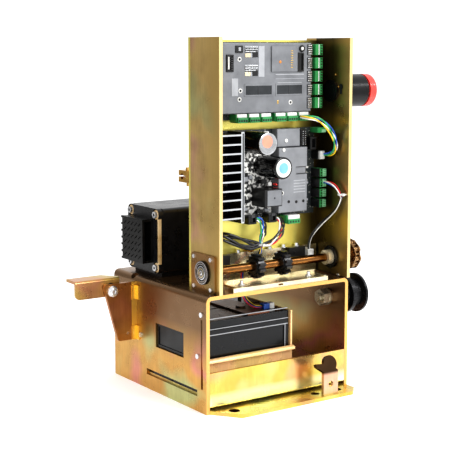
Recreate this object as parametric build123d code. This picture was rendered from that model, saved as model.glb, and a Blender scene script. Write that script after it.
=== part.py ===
from build123d import *
import math
import os

# Slide gate operator, shown with its weather cover taken off.
# Axes: +Z up, -Y is the open front, +X is the side where the chains run.
# Pieces are drawn from the front left bottom corner of the chassis and are then moved, so that
# the origin of the part is the centre of the anchor bolts, on the pad that it stands on.

# Gaps: between sheets, between pieces set against each other, in a running fit
SHEET_GAP = 0.2
SEAT_GAP = 0.3
RUNNING_GAP = 0.05
# How far a cut runs past the face that it goes through
PAST = 1.0

# Sheet metal chassis
SHEET = 5.0
BASE_WIDTH = 238.0
BASE_DEPTH = 245.0
BASE_HEIGHT = 157.0
BEND_RADIUS = 8.0

# Foot plate and its anchor holes
FOOT_REACH = 36.0
FOOT_CORNER_X = 27.0
FOOT_CORNER_SMALL = 14.0
ANCHOR_HOLE_RADIUS = 7.5
ANCHOR_INSET = 33.0
ANCHOR_REACH = 16.0
CONDUIT_RADIUS = 32.0
LEVEL_HOLE_RADIUS = 6.0
LEVEL_HOLE_FROM_RIGHT = 70.0

# Padlock hasp on the front flange
HASP_FROM_RIGHT = 54.5
HASP_FROM_EDGE = 5.0
HASP_WIDTH = 25.0
HASP_SHEET = 5.0
HASP_BEND_Z = 38.0
HASP_HOLE_Z = 20.0
HASP_HOLE_RADIUS = 4.0
HASP_LOBE_RADIUS = 11.0
HASP_LOBE_RISE = 10.7
HASP_EAR = 11.0
HASP_EAR_HALF = 2.0
HASP_LEAN = 21.0

# Openings in the left wall: a window, a long slot, a slit and a notch
WINDOW_FROM_FRONT = 56.0
WINDOW_LENGTH = 72.0
WINDOW_BOTTOM = 65.0
WINDOW_HEIGHT = 34.0
SLOT_FROM_FRONT = 22.5
SLOT_LENGTH = 131.0
SLOT_BOTTOM = 20.5
SLOT_HEIGHT = 8.5
SLIT_FROM_FRONT = 9.0
SLIT_WIDTH = 4.5
SLIT_BOTTOM = 32.0
SLIT_HEIGHT = 93.0
NOTCH_RADIUS = 6.0

# Apron, inner floor and battery tray
APRON_BOTTOM = 8.0
APRON_TOP = 55.0
APRON_SHEET = 4.0
APRON_LIP = 22.0
APRON_BEND = 3.0
FLOOR_SHEET = 4.0
FLOOR_LOW = 16.0
FLOOR_RISE = 14.0
TRAY_SHEET = 2.5
TRAY_LIP_HEIGHT = 42.0
TRAY_ROLL_RADIUS = 5.0
TRAY_BOLT_RADIUS = 5.0
TRAY_BOLT_HEAD = 3.0
TRAY_BOLT_FROM_FRONT = 6.0
TRAY_BOLT_BELOW_TOP = 12.0

# Two sealed 12 volt batteries
BATTERY_LENGTH = 151.0
BATTERY_WIDTH = 65.0
BATTERY_HEIGHT = 93.0
BATTERY_FRONT = 29.0
BATTERY_GAP = 0.5
BATTERY_LID = 12.0
BATTERY_EDGE = 2.5
LID_STEP = 1.0
LID_ROUND = 1.5
PANEL_INSET = 9.0
PANEL_DEPTH = 1.2
TERMINAL_SIZE = 6.0
TERMINAL_SHEET = 1.0
TERMINAL_INSET = 12.0

# Strap over the batteries
STRAP_LEFT = 88.0
STRAP_WIDTH = 36.0
STRAP_SHEET = 2.0
STRAP_FROM_FRONT = 2.0
STRAP_LEG = 60.0
STRAP_DIMPLE_RADIUS = 7.0
STRAP_DIMPLE_RISE = 2.0
STRAP_DIMPLE_BACK = 45.5

# Release lever and its bracket
BRACKET_SHEET = 5.0
BRACKET_FROM_BACK = 65.0
BRACKET_BELOW_TOP = 8.0
BRACKET_HEIGHT = 83.0
BRACKET_REACH_TOP = 53.0
BRACKET_REACH_BOTTOM = 30.0
BRACKET_CORNER = 4.0
BRACKET_HOLE_RADIUS = 2.0
BRACKET_HOLE_OUT = 15.0
BRACKET_HOLE_UP = 10.0
PIVOT_OUT = 39.0
PIVOT_BELOW_BRACKET_TOP = 10.0
PIVOT_BOLT_RADIUS = 5.0
PIVOT_NUT = 6.0
PIVOT_THREAD = 8.0
PIVOT_WASHER_RADIUS = 11.0
WASHER_PLAY = 0.1
LEVER_GAP = 1.0
LEVER_SHEET = 4.0
LEVER_BEND = 3.5
LEVER_REACH = 54.0
LEVER_TAIL = 15.0
LEVER_HEIGHT = 26.0
LEVER_BELOW_PIVOT = 8.0
LEVER_PAD = 28.0
LEVER_CORNER = 7.0
LEVER_CUT_BACK = 6.0
LEVER_CUT_SIDE = 16.0
LUG_HEIGHT = 20.0
LUG_REACH = 8.0
LUG_SHEET = 2.0
LUG_BELOW_TOP = 5.0

# Tall channel that carries the electronics and the limit shaft
BOX_LEFT = 20.5
BOX_OVERHANG = 3.0
BOX_RIGHT_EXTRA = 20.0
BOX_HEIGHT = 333.0
BOX_SHEET = 5.0
BOX_BEND = 4.0
BOX_BACK_DROP = 3.0

# Limit shaft, its bearings and its nuts
LIMIT_FROM_BACK = 40.0
LIMIT_ABOVE_CHASSIS = 25.0
LIMIT_SHAFT_RADIUS = 6.0
SHAFT_CHAMFER = 1.0
SHAFT_SOCKET_RADIUS = 2.0
SHAFT_SOCKET_DEPTH = 6.0
BEARING_OUTER_RADIUS = 16.0
BEARING_WIDTH = 10.0
BEARING_RING = 3.0
BEARING_SEAL_INSET = 0.6
LEFT_BEARING_PROUD = 5.0
BEARING_PLATE = 56.0
BEARING_PLATE_HEIGHT = 50.0
BEARING_PLATE_CORNER = 4.0
BEARING_PLATE_SHEET = 2.5
BEARING_SCREW_SPREAD = 40.0
BEARING_SCREW_RADIUS = 2.8
COLLAR_RADIUS = 10.5
COLLAR_LENGTH = 9.0
NUT_RADIUS = 17.0
NUT_WIDTH = 10.0
NUT_HUB_RADIUS = 11.5
NUT_HUB_LENGTH = 2.0
NUT_TEETH = 12
NUT_NOTCH_WIDTH = 4.4
NUT_NOTCH_DEPTH = 3.4
NUT_LEFT_X = 100.0
NUT_SPACING = 45.0

# Front guide strip, and the detent plate that keeps the limit nuts from turning
STRIP_HEIGHT = 6.0
STRIP_SHEET = 3.0
STRIP_Y = 2.0
STRIP_PAST_LEFT = 8.0
STRIP_SHORT_RIGHT = 2.0
STRIP_SLOT_LENGTH = 8.0
STRIP_SLOT_SHIFT = 6.0
STRIP_SLOT_FOOT = 2.0
STRIP_SLOT_TOP = 1.5
DETENT_SHEET = 3.0
DETENT_LEFT = 52.0
DETENT_FROM_RIGHT = 36.0
DETENT_BEHIND_STRIP = 3.0
DETENT_LIFT = 3.0
DETENT_BITE = 2.2
POST_RADIUS = 2.5
POST_HEAD_RADIUS = 4.5
POST_HEAD_HEIGHT = 2.0
POST_HEIGHT = 13.0
POST_FROM_LEFT = 13.0
POST_FROM_RIGHT = 27.0
POST_FROM_FRONT = 6.0
SPRING_PLAY = 0.5
SPRING_WALL = 1.5
SPRING_FLARE = 3.0

# Limit switches behind the shaft, on their rail
SWITCH_LENGTH = 28.0
SWITCH_HEIGHT = 16.0
SWITCH_DEPTH = 10.0
SWITCH_FROM_BACK = 19.0
SWITCH_BELOW_SHAFT = 1.0
SWITCH_LEFT_X = 48.0
SWITCH_FROM_RIGHT = 63.0
PLUNGER_RADIUS = 1.5
PLUNGER_REACH = 1.5
RAIL_SHEET = 2.0
RAIL_FOOT = 7.0

# Roller chain and sprockets
CHAIN_PITCH = 12.7
ROLLER_RADIUS = 3.88
CHAIN_INNER_WIDTH = 6.4
CHAIN_PLATE = 1.27
CHAIN_PLATE_HEIGHT = 9.9
CHAIN_PIN_RADIUS = 1.79
CHAIN_PIN_HEAD = 0.7
CHAIN_FROM_BOX = 28.0
LIMIT_TEETH = 8
TOOTH_WIDTH = 5.8
TOOTH_GAP = 0.15
TIP_FACTOR = 0.6
HUB_RADIUS = 10.0
HUB_GAP = 0.5

# Output shaft and gear case
OUTPUT_RADIUS = 12.5
OUTPUT_END_RADIUS = 8.5
OUTPUT_PAST_CHAIN = 13.0
DRIVE_TEETH = 16
DRIVE_FROM_BOX = 11.0
DRIVE_HUB_RADIUS = 22.0
DRIVE_HUB_LENGTH = 5.0
GEAR_CASE_INSET = 26.0
GEAR_CASE_WIDTH = 88.0
GEAR_CASE_RADIUS = 42.0
GEAR_CASE_NOSE = 34.0
GEAR_CASE_GAP = 4.5
CASE_BORE_DEPTH = 20.0
GEAR_BOSS_RADIUS = 30.0
GEAR_BOSS_FROM_BOX = 11.0
GEAR_FOOT_FRONT = 18.0
GEAR_FOOT_INSET = 13.0
GEAR_FOOT_SINK = 4.0
LIP_SEAL_RADIUS = 24.0
LIP_SEAL_WIDTH = 3.0

# Motor
MOTOR_SIZE = 86.0
MOTOR_HEIGHT = 92.0
MOTOR_LEFT = 17.0
MOTOR_BEHIND_OUTPUT = 23.5
MOTOR_FOOT = 5.0
MOTOR_FOOT_INSET = 6.0
MOTOR_CORNER = 6.0
END_CAP = 8.0
END_CAP_CORNER = 9.0
END_CAP_POCKET_RADIUS = 8.0
END_CAP_POCKET_DEPTH = 2.0
MOTOR_SCREW_INSET = 8.5
MOTOR_SCREW_RADIUS = 4.6
MOTOR_SCREW_HEAD = 5.0
MOTOR_SCREW_SOCKET_RADIUS = 2.0
MOTOR_SCREW_SOCKET_DEPTH = 1.5
FIN_PAD_WIDTH = 57.0
FIN_PAD_HEIGHT = 62.0
FIN_PAD_REACH = 18.0
FIN_PAD_WALL = 3.5
LATTICE_COLUMNS = 5
LATTICE_ROWS = 6
LATTICE_RIB = 3.0
NUB_COUNT = 7
NUB_SIZE = 3.0

# Chain idler wheels
IDLER_RADIUS = 28.4
IDLER_SPACER = 2.5
IDLER_WIDTH = 46.0
IDLER_GROOVE_RADIUS = 20.5
IDLER_FLANGE = 3.6
IDLER_SLOPE = 3.0
IDLER_RIB = 6.0
IDLER_RIB_SLOPE = 2.0
IDLER_RIB_DROP = 1.5
IDLER_FROM_EDGE = 40.0
IDLER_BELOW_TOP = 33.0
IDLER_PLAY = 0.5
IDLER_BOLT_RADIUS = 6.0
IDLER_BUSH_RADIUS = 9.0
IDLER_HEX_RADIUS = 10.5
IDLER_HEAD = 8.5
IDLER_NUT = 11.0
IDLER_THREAD = 18.0
IDLER_WASHER = 2.5
IDLER_INSIDE_WASHER = 3.0
IDLER_WASHER_RADIUS = 12.0

# Reset button on the right panel
BUTTON_RADIUS = 23.0
BUTTON_BELOW_TOP = 73.0
BUTTON_BARREL = 44.0
BUTTON_CAP = 13.0
BUTTON_CAP_ROUND = 3.5
BUTTON_TRAVEL = 3.0
BUTTON_STEM_RADIUS = 17.0
BUTTON_STEM = 8.0
BUTTON_BORE = 12.0
BUTTON_NECK_RADIUS = 11.0
BUTTON_NUT_RADIUS = 15.0
BUTTON_NUT = 4.0
BUTTON_THREAD = 5.0

# Upper board, its cover and its terminal plugs, seen from the open front
BOARD_THICKNESS = 1.6
BOARD_STANDOFF = 10.0
STANDOFF_RADIUS = 3.0
STANDOFF_INSET = 6.0
MAIN_GAP = 2.5
MAIN_FROM_RIGHT = 27.0
MAIN_BELOW_TOP = 6.0
MAIN_HEIGHT = 104.0
MAIN_COVER_DEPTH = 14.0
MAIN_COVER_SHORT_RIGHT = 9.0
MAIN_COVER_SHORT_BOTTOM = 9.0
MAIN_COVER_SHORT_TOP = 1.0
COVER_WALL = 2.0
COVER_ROUND = 1.5
DISPLAY_PITCH = 52.0
DISPLAY_WIDTH = 44.5
DISPLAY_HEIGHT = 13.5
DISPLAY_FROM_RIGHT = 16.0
DISPLAY_BELOW_TOP = 56.5
DISPLAY_DEPTH = 1.2
RAISED_FROM_RIGHT = 25.7
RAISED_WIDTH = 43.7
RAISED_BELOW_TOP = 4.4
RAISED_HEIGHT = 34.3
RAISED_DEPTH = 2.0
PLUG_DEPTH = 19.0
PLUG_HOLE_RADIUS = 1.7
PLUG_HOLE_DEPTH = 4.0
PLUG_HOLE_INSET = 4.2
PLUG_COUNT = 5
PLUG_PITCH = 18.3
PLUG_LENGTH = 16.0
PLUG_WIDTH = 12.0
PLUG_FROM_COVER = 4.0
PLUG_BELOW_TOP = 2.0
FOOT_PLUG_COUNT = 6
FOOT_PLUG_HEIGHT = 12.0
FOOT_PLUG_PITCH = 20.0
FOOT_PLUG_FROM_RIGHT = 127.0
FOOT_PLUG_GAP = 4.5
FOOT_PLUG_BELOW_COVER = 0.5

# Lower board and the pieces on it
BOARD_GAP = 14.0
POWER_FROM_LEFT = 24.5
POWER_FROM_RIGHT = 19.0
POWER_HEIGHT = 122.0
SIDE_PLUG_PITCH = 14.4
SIDE_PLUG_LENGTH = 13.0
SIDE_PLUG_OVERLAP = 5.0
SIDE_PLUG_UP = 9.0
TOP_SIDE_PLUG_UP = 76.68
SIDE_PLUG_COUNT = 4
WIDE_PLUG_WIDTH = 21.0
WIDE_PLUG_IN = 15.0
WIDE_PLUG_DROP = 10.0
CAP_RADIUS = 15.0
CAP_LENGTH = 48.0
CAP_ROUND = 1.2
CAP_CRIMP_FROM_END = 4.0
CAP_CRIMP_WIDTH = 2.0
CAP_CRIMP_DEPTH = 0.8
CAP_TOP_ACROSS = 61.0
CAP_TOP_DOWN = 16.0
CAP_LOW_ACROSS = 87.0
CAP_LOW_DOWN = 50.0
FIN_COUNT = 10
FIN_PITCH = 12.3
FIN_SHEET = 2.2
FIN_FROM_TOP = 3.0
SINK_PAST_LEFT = 3.0
SINK_WIDTH = 37.0
SINK_PLATE = 5.0
SINK_DEPTH = 32.0
RELAY_SIZE = 30.0
RELAY_HEIGHT = 24.0
RELAY_UP = 18.0
RELAY_GAP = 4.0
RELAY_ROUND = 1.0
SOCKET_WIDTH = 14.0
SOCKET_HEIGHT = 12.0
SOCKET_DEPTH = 15.0
SOCKET_DROP = 6.0
SOCKET_LEFT_ACROSS = 53.0
SOCKET_RIGHT_ACROSS = 87.0
POWER_COVER_ACROSS = 103.0
POWER_COVER_SHORT_RIGHT = 24.0
POWER_COVER_DEPTH = 16.0
POWER_COVER_UP = 6.0
POWER_COVER_STEP = 4.0
POWER_COVER_STEP_HEIGHT = 25.0
POWER_COVER_STEP_GAP = 1.0
POWER_COVER_STEP_SHORT = 10.0
GROOVE_UP = 58.0
GROOVE_HEIGHT = 11.0
GROOVE_LENGTH = 20.0
GROOVE_DEPTH = 4.0

# Ground clamp behind the channel
CLAMP_SIZE = 16.0
CLAMP_REACH = 24.0
CLAMP_BELOW_TOP = 185.0
CLAMP_INSET = 1.0
CLAMP_SLIT = 2.0
CLAMP_WEB = 6.0
CLAMP_BORE_RADIUS = 4.0
CLAMP_BORE_OUT = 15.6
CLAMP_SCREW_OUT = 9.6
CLAMP_SCREW_HEAD_RADIUS = 5.0
CLAMP_SCREW_HEAD = 4.0
CLAMP_SCREW_TAIL_RADIUS = 4.0
CLAMP_SCREW_TAIL = 5.0

# Wires: each solid is a bundle that stands for a group of wires
BUNDLE_RADIUS = 1.5
BEND_SHARE = 0.45
GROMMET_X = 92.0
GROMMET_FROM_BACK = 26.5
GROMMET_HOLE_RADIUS = 8.0
GROMMET_BORE_RADIUS = 5.0
GROMMET_FLANGE_RADIUS = 10.0
GROMMET_FLANGE = 2.0
CLIP_X = 122.0
CLIP_FROM_BACK = 27.5
CLIP_ABOVE_SHAFT = 26.0
CLIP_WIDTH = 8.0
CLIP_DEPTH = 9.0
CLIP_HEIGHT = 6.0
SWITCH_PLUG_WIDTH = 10.0
SWITCH_PLUG_DEPTH = 17.0
SWITCH_PLUG_HEIGHT = 9.0
SWITCH_PLUG_UP = 3.0
BATTERY_PLUG_WIDTH = 18.0
BATTERY_PLUG_DEPTH = 10.0
BATTERY_PLUG_HEIGHT = 8.0
BATTERY_PLUG_FROM_RIGHT = 10.0
BATTERY_PLUG_BACK = 26.0

# Fasteners
SCREW_HEAD_RADIUS = 3.4
SCREW_HEAD_HEIGHT = 2.0
BOLT_HEAD_RADIUS = 7.0
BOLT_HEAD_HEIGHT = 6.0
TOP_SCREW_BACK = 11.5
TOP_SCREW_DOWN = 25.0
WINDOW_SCREW_BACK = 20.4
WINDOW_SCREW_UP = 75.0
REAR_SCREW_IN = 77.0
REAR_SCREW_UP = 74.0

# Places worked out from the sizes above
CHASSIS_TOP = BASE_HEIGHT
HASP_X = BASE_WIDTH - HASP_FROM_RIGHT
HASP_Y = HASP_FROM_EDGE - FOOT_REACH
BATTERY_LEFT = SHEET + BATTERY_GAP
BATTERY_RIGHT = BATTERY_LEFT + BATTERY_LENGTH
BATTERY_BOTTOM = FLOOR_LOW + FLOOR_SHEET + TRAY_SHEET + SEAT_GAP
BATTERY_TOP = BATTERY_BOTTOM + BATTERY_HEIGHT
BRACKET_FRONT = BASE_DEPTH - BRACKET_FROM_BACK
BRACKET_BACK = BRACKET_FRONT + BRACKET_SHEET
BRACKET_TOP = CHASSIS_TOP - BRACKET_BELOW_TOP
BRACKET_BOTTOM = BRACKET_TOP - BRACKET_HEIGHT
PIVOT_X = -PIVOT_OUT
PIVOT_Z = BRACKET_TOP - PIVOT_BELOW_BRACKET_TOP
LEVER_FRONT = BRACKET_BACK + LEVER_GAP
OUTPUT_Y = BASE_DEPTH / 2
BOX_RIGHT = BASE_WIDTH + BOX_OVERHANG
BOX_DEPTH = OUTPUT_Y - GEAR_CASE_RADIUS - GEAR_CASE_GAP
BOX_TOP = CHASSIS_TOP + BOX_HEIGHT
BACK_INNER_Y = BOX_DEPTH - BOX_SHEET
BOARD_Y = BACK_INNER_Y - BOARD_STANDOFF - BOARD_THICKNESS
LIMIT_Y = BOX_DEPTH - LIMIT_FROM_BACK
LIMIT_Z = CHASSIS_TOP + LIMIT_ABOVE_CHASSIS
CHAIN_X = BOX_RIGHT + CHAIN_FROM_BOX
CHAIN_SPAN_LINKS = math.ceil((OUTPUT_Y - LIMIT_Y) / CHAIN_PITCH)
CHAIN_SPAN = CHAIN_SPAN_LINKS * CHAIN_PITCH
OUTPUT_Z = LIMIT_Z + math.sqrt(CHAIN_SPAN**2 - (OUTPUT_Y - LIMIT_Y) ** 2)
CHAIN_ANGLE = math.degrees(math.atan2(OUTPUT_Z - LIMIT_Z, OUTPUT_Y - LIMIT_Y))
DRIVE_X = BOX_RIGHT + DRIVE_FROM_BOX
GEAR_CASE_RIGHT = BASE_WIDTH - GEAR_CASE_INSET
GEAR_CASE_LEFT = GEAR_CASE_RIGHT - GEAR_CASE_WIDTH
GEAR_BOSS_END = BOX_RIGHT - GEAR_BOSS_FROM_BOX
MOTOR_FRONT = OUTPUT_Y + MOTOR_BEHIND_OUTPUT
MOTOR_Y = MOTOR_FRONT + MOTOR_SIZE / 2
MOTOR_BOTTOM = CHASSIS_TOP + MOTOR_FOOT
MOTOR_Z = MOTOR_BOTTOM + MOTOR_HEIGHT / 2
NUT_RIGHT_X = NUT_LEFT_X + NUT_SPACING
DETENT_RIGHT = BOX_RIGHT - DETENT_FROM_RIGHT
DETENT_FRONT = STRIP_Y + STRIP_SHEET + DETENT_BEHIND_STRIP
POST_Y = DETENT_FRONT + POST_FROM_FRONT
POST_XS = (DETENT_LEFT + POST_FROM_LEFT, DETENT_RIGHT - POST_FROM_RIGHT)
SWITCH_RIGHT_X = BOX_RIGHT - SWITCH_FROM_RIGHT
SWITCH_Y = BOX_DEPTH - SWITCH_FROM_BACK
SWITCH_BACK = SWITCH_Y + SWITCH_DEPTH
SWITCH_Z = LIMIT_Z - SWITCH_BELOW_SHAFT
IDLER_LEFT = BASE_WIDTH + IDLER_SPACER
IDLER_RIGHT = IDLER_LEFT + IDLER_WIDTH
IDLER_Z = CHASSIS_TOP - IDLER_BELOW_TOP
BUTTON_Y = BOX_DEPTH / 2
BUTTON_Z = BOX_TOP - BUTTON_BELOW_TOP
BUTTON_BARREL_END = BOX_RIGHT + BUTTON_BARREL
MAIN_LEFT = BOX_LEFT + BOX_SHEET + MAIN_GAP
MAIN_RIGHT = BOX_RIGHT - MAIN_FROM_RIGHT
MAIN_TOP = BOX_TOP - MAIN_BELOW_TOP
MAIN_BOTTOM = MAIN_TOP - MAIN_HEIGHT
MAIN_COVER_RIGHT = MAIN_RIGHT - MAIN_COVER_SHORT_RIGHT
MAIN_COVER_BOTTOM = MAIN_BOTTOM + MAIN_COVER_SHORT_BOTTOM
POWER_LEFT = BOX_LEFT + POWER_FROM_LEFT
POWER_RIGHT = BOX_RIGHT - POWER_FROM_RIGHT
POWER_TOP = MAIN_BOTTOM - BOARD_GAP
POWER_BOTTOM = POWER_TOP - POWER_HEIGHT
POWER_COVER_LEFT = POWER_LEFT + POWER_COVER_ACROSS
POWER_COVER_RIGHT = POWER_RIGHT - POWER_COVER_SHORT_RIGHT
CAP_PLACES = (
    (POWER_LEFT + CAP_TOP_ACROSS, POWER_TOP - CAP_TOP_DOWN),
    (POWER_LEFT + CAP_LOW_ACROSS, POWER_TOP - CAP_LOW_DOWN),
)
GROMMET_Y = BOX_DEPTH - GROMMET_FROM_BACK
CLIP_Y = BOX_DEPTH - CLIP_FROM_BACK
CLIP_Z = LIMIT_Z + CLIP_ABOVE_SHAFT
CLAMP_X = BOX_LEFT + CLAMP_INSET
CLAMP_Z = BOX_TOP - CLAMP_BELOW_TOP


def block(low, high):
    """A box between two corners."""
    size = [b - a for a, b in zip(low, high)]
    return Pos(*low) * Box(*size, align=(Align.MIN, Align.MIN, Align.MIN))


def bar_x(y, z, radius, start, end):
    """A round bar along X."""
    along = (Align.CENTER, Align.CENTER, Align.MIN)
    return Pos(start, y, z) * Rot(0, 90, 0) * Cylinder(radius, end - start, align=along)


def bar_y(x, z, radius, start, end):
    """A round bar along Y."""
    along = (Align.CENTER, Align.CENTER, Align.MIN)
    return Pos(x, start, z) * Rot(-90, 0, 0) * Cylinder(radius, end - start, align=along)


def bar_z(x, y, radius, start, end):
    """A round bar along Z."""
    along = (Align.CENTER, Align.CENTER, Align.MIN)
    return Pos(x, y, start) * Cylinder(radius, end - start, align=along)


def tube_x(y, z, outer, inner, start, end):
    """A ring or a bush along X."""
    return bar_x(y, z, outer, start, end) - bar_x(y, z, inner, start - PAST, end + PAST)


def hexagon_x(y, z, flat_radius, start, end):
    """A hexagon along X, such as a bolt head or a nut."""
    face = RegularPolygon(flat_radius, 6, major_radius=False)
    return Pos(start, y, z) * Rot(0, 90, 0) * extrude(face, end - start)


def hexagon_y(x, z, flat_radius, start, end):
    """A hexagon along Y."""
    face = RegularPolygon(flat_radius, 6, major_radius=False)
    return Pos(x, start, z) * Rot(-90, 0, 0) * extrude(face, end - start)


def along_y(face, start, end):
    """Extrude a face drawn with X to the right and Z up, from start to end along Y."""
    return Pos(0, start, 0) * extrude(Plane.XZ * face, -(end - start))


def along_x(face, start, end):
    """Extrude a face drawn with Y to the right and Z up, from start to end along X."""
    return Pos(start, 0, 0) * extrude(Plane.YZ * face, end - start)


def outline(points):
    """A flat face from its corners."""
    return make_face(Polyline(*points, close=True))


def arch(left, right, bottom, top, radius):
    """A rectangle whose two upper corners are round."""
    face = Pos(left, bottom) * Rectangle(right - left, top - bottom, align=(Align.MIN, Align.MIN))
    return fillet(face.vertices().group_by(Axis.Y)[-1], radius)


def group(*solids):
    """Several separate solids in one node."""
    return Compound(children=[s for part in solids for s in part.solids()])


def left_wall_openings():
    """Window, slot, slit and lever notch in the left wall."""
    window = block(
        (-PAST, WINDOW_FROM_FRONT, WINDOW_BOTTOM),
        (SHEET + PAST, WINDOW_FROM_FRONT + WINDOW_LENGTH, WINDOW_BOTTOM + WINDOW_HEIGHT),
    )
    slot = block(
        (-PAST, SLOT_FROM_FRONT, SLOT_BOTTOM),
        (SHEET + PAST, SLOT_FROM_FRONT + SLOT_LENGTH, SLOT_BOTTOM + SLOT_HEIGHT),
    )
    slit = block(
        (-PAST, SLIT_FROM_FRONT, SLIT_BOTTOM),
        (SHEET + PAST, SLIT_FROM_FRONT + SLIT_WIDTH, SLIT_BOTTOM + SLIT_HEIGHT),
    )
    notch_y = LEVER_FRONT + NOTCH_RADIUS
    notch = bar_x(notch_y, CHASSIS_TOP, NOTCH_RADIUS, -PAST, BEND_RADIUS + PAST)
    return window + slot + slit + notch


def chassis():
    """Inverted channel, open at the front, at the back and below."""
    outer = arch(0, BASE_WIDTH, 0, BASE_HEIGHT, BEND_RADIUS)
    inner = arch(SHEET, BASE_WIDTH - SHEET, -PAST, BASE_HEIGHT - SHEET, BEND_RADIUS - SHEET)
    body = along_y(outer - inner, 0, BASE_DEPTH) - left_wall_openings()
    under = BASE_HEIGHT - SHEET - PAST
    body -= bar_z(GROMMET_X, GROMMET_Y, GROMMET_HOLE_RADIUS, under, BASE_HEIGHT + PAST)
    inside = BASE_WIDTH - SHEET - PAST
    for y in idler_places():
        body -= bar_x(y, IDLER_Z, IDLER_BOLT_RADIUS + RUNNING_GAP, inside, BASE_WIDTH + PAST)
    return body


def foot_outline():
    """Plate between the walls, with a flange in front and a like one behind."""
    left = SHEET + SHEET_GAP
    right = BASE_WIDTH - SHEET - SHEET_GAP
    front = [(left, 0), (left + FOOT_CORNER_X, -FOOT_REACH)]
    front += [(right - FOOT_CORNER_SMALL, -FOOT_REACH), (right, FOOT_CORNER_SMALL - FOOT_REACH)]
    back = [(x, BASE_DEPTH - y) for x, y in reversed(front)]
    return outline(front + back)


def flange_lines():
    """Where the holes of the front and the rear flange lie along Y."""
    return (-ANCHOR_REACH, BASE_DEPTH + ANCHOR_REACH)


def foot_plate():
    """Thick plate that is bolted to the pad, with its anchor, levelling and conduit holes."""
    plate = extrude(foot_outline(), SHEET)
    holes = [(ANCHOR_INSET, ANCHOR_HOLE_RADIUS), (BASE_WIDTH - ANCHOR_INSET, ANCHOR_HOLE_RADIUS)]
    holes.append((BASE_WIDTH - LEVEL_HOLE_FROM_RIGHT, LEVEL_HOLE_RADIUS))
    for x, radius in holes:
        for y in flange_lines():
            plate -= bar_z(x, y, radius, -PAST, SHEET + PAST)
    return plate - bar_z(BASE_WIDTH / 2, BASE_DEPTH / 2, CONDUIT_RADIUS, -PAST, SHEET + PAST)


def front_apron():
    """Bent sheet below the front opening, with a lip that turns in at its foot."""
    profile = [(0, APRON_TOP), (0, APRON_BOTTOM), (APRON_LIP, APRON_BOTTOM)]
    profile += [(APRON_LIP, APRON_BOTTOM + APRON_SHEET), (APRON_SHEET, APRON_BOTTOM + APRON_SHEET)]
    profile += [(APRON_SHEET, APRON_TOP)]
    face = outline(profile)
    corner = face.vertices().sort_by(lambda v: v.X + v.Y)[0]
    face = fillet(corner, APRON_BEND)
    return along_x(face, SHEET + SHEET_GAP, BASE_WIDTH - SHEET - SHEET_GAP)


def inner_floor():
    """Floor plate that steps up beside the batteries."""
    left = SHEET + SHEET_GAP
    step = BATTERY_RIGHT + 2 * TRAY_SHEET
    right = BASE_WIDTH - SHEET - SHEET_GAP
    high = FLOOR_LOW + FLOOR_RISE
    profile = [(left, FLOOR_LOW), (step + FLOOR_SHEET, FLOOR_LOW), (step + FLOOR_SHEET, high)]
    profile += [(right, high), (right, high + FLOOR_SHEET), (step, high + FLOOR_SHEET)]
    profile += [(step, FLOOR_LOW + FLOOR_SHEET), (left, FLOOR_LOW + FLOOR_SHEET)]
    return along_y(outline(profile), APRON_LIP + SHEET_GAP, BASE_DEPTH)


def padlock_hasp():
    """Upright tab on the foot plate, with a hole and a lobe that leans back."""
    half = HASP_WIDTH / 2
    back = HASP_Y + HASP_SHEET
    tab = block((HASP_X - half, HASP_Y, SHEET), (HASP_X + half, back, HASP_BEND_Z))
    tab -= bar_y(HASP_X, HASP_HOLE_Z, HASP_HOLE_RADIUS, HASP_Y - PAST, back + PAST)
    tip = -half - HASP_EAR
    ear = [(half, 0), (-half, 0), (tip, HASP_LOBE_RISE - HASP_EAR_HALF)]
    ear += [(tip, HASP_LOBE_RISE + HASP_EAR_HALF), (0, HASP_LOBE_RISE)]
    face = outline(ear) + Pos(half - HASP_LOBE_RADIUS, HASP_LOBE_RISE) * Circle(HASP_LOBE_RADIUS)
    lobe = Rot(-HASP_LEAN, 0, 0) * along_y(face, 0, HASP_SHEET)
    return tab + Pos(HASP_X, HASP_Y, HASP_BEND_Z) * lobe


def battery_tray():
    """Cradle with a low rolled front and a tall right wall."""
    low = FLOOR_LOW + FLOOR_SHEET
    front = BATTERY_FRONT - BATTERY_GAP - TRAY_SHEET
    back = tray_back()
    right = BATTERY_RIGHT + BATTERY_GAP
    outside = right + TRAY_SHEET
    lip = low + TRAY_LIP_HEIGHT
    floor = block((BATTERY_LEFT, front, low), (outside, back, low + TRAY_SHEET))
    face = block((BATTERY_LEFT, front, low), (outside, front + TRAY_SHEET, lip))
    rear = block((BATTERY_LEFT, back - TRAY_SHEET, low), (outside, back, lip))
    wall = block((right, front, low), (outside, back, BATTERY_TOP))
    roll_y = front + TRAY_SHEET - TRAY_ROLL_RADIUS
    roll = tube_x(roll_y, lip, TRAY_ROLL_RADIUS, TRAY_ROLL_RADIUS - TRAY_SHEET, BATTERY_LEFT, outside)
    below = block((BATTERY_LEFT - PAST, front - 2 * TRAY_ROLL_RADIUS, low),
                  (outside + PAST, BATTERY_FRONT, lip))
    return floor + face + rear + wall + (roll - below)


def tray_back():
    """Rear face of the battery tray."""
    return BATTERY_FRONT + 2 * BATTERY_WIDTH + 2 * BATTERY_GAP + TRAY_SHEET


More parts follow.
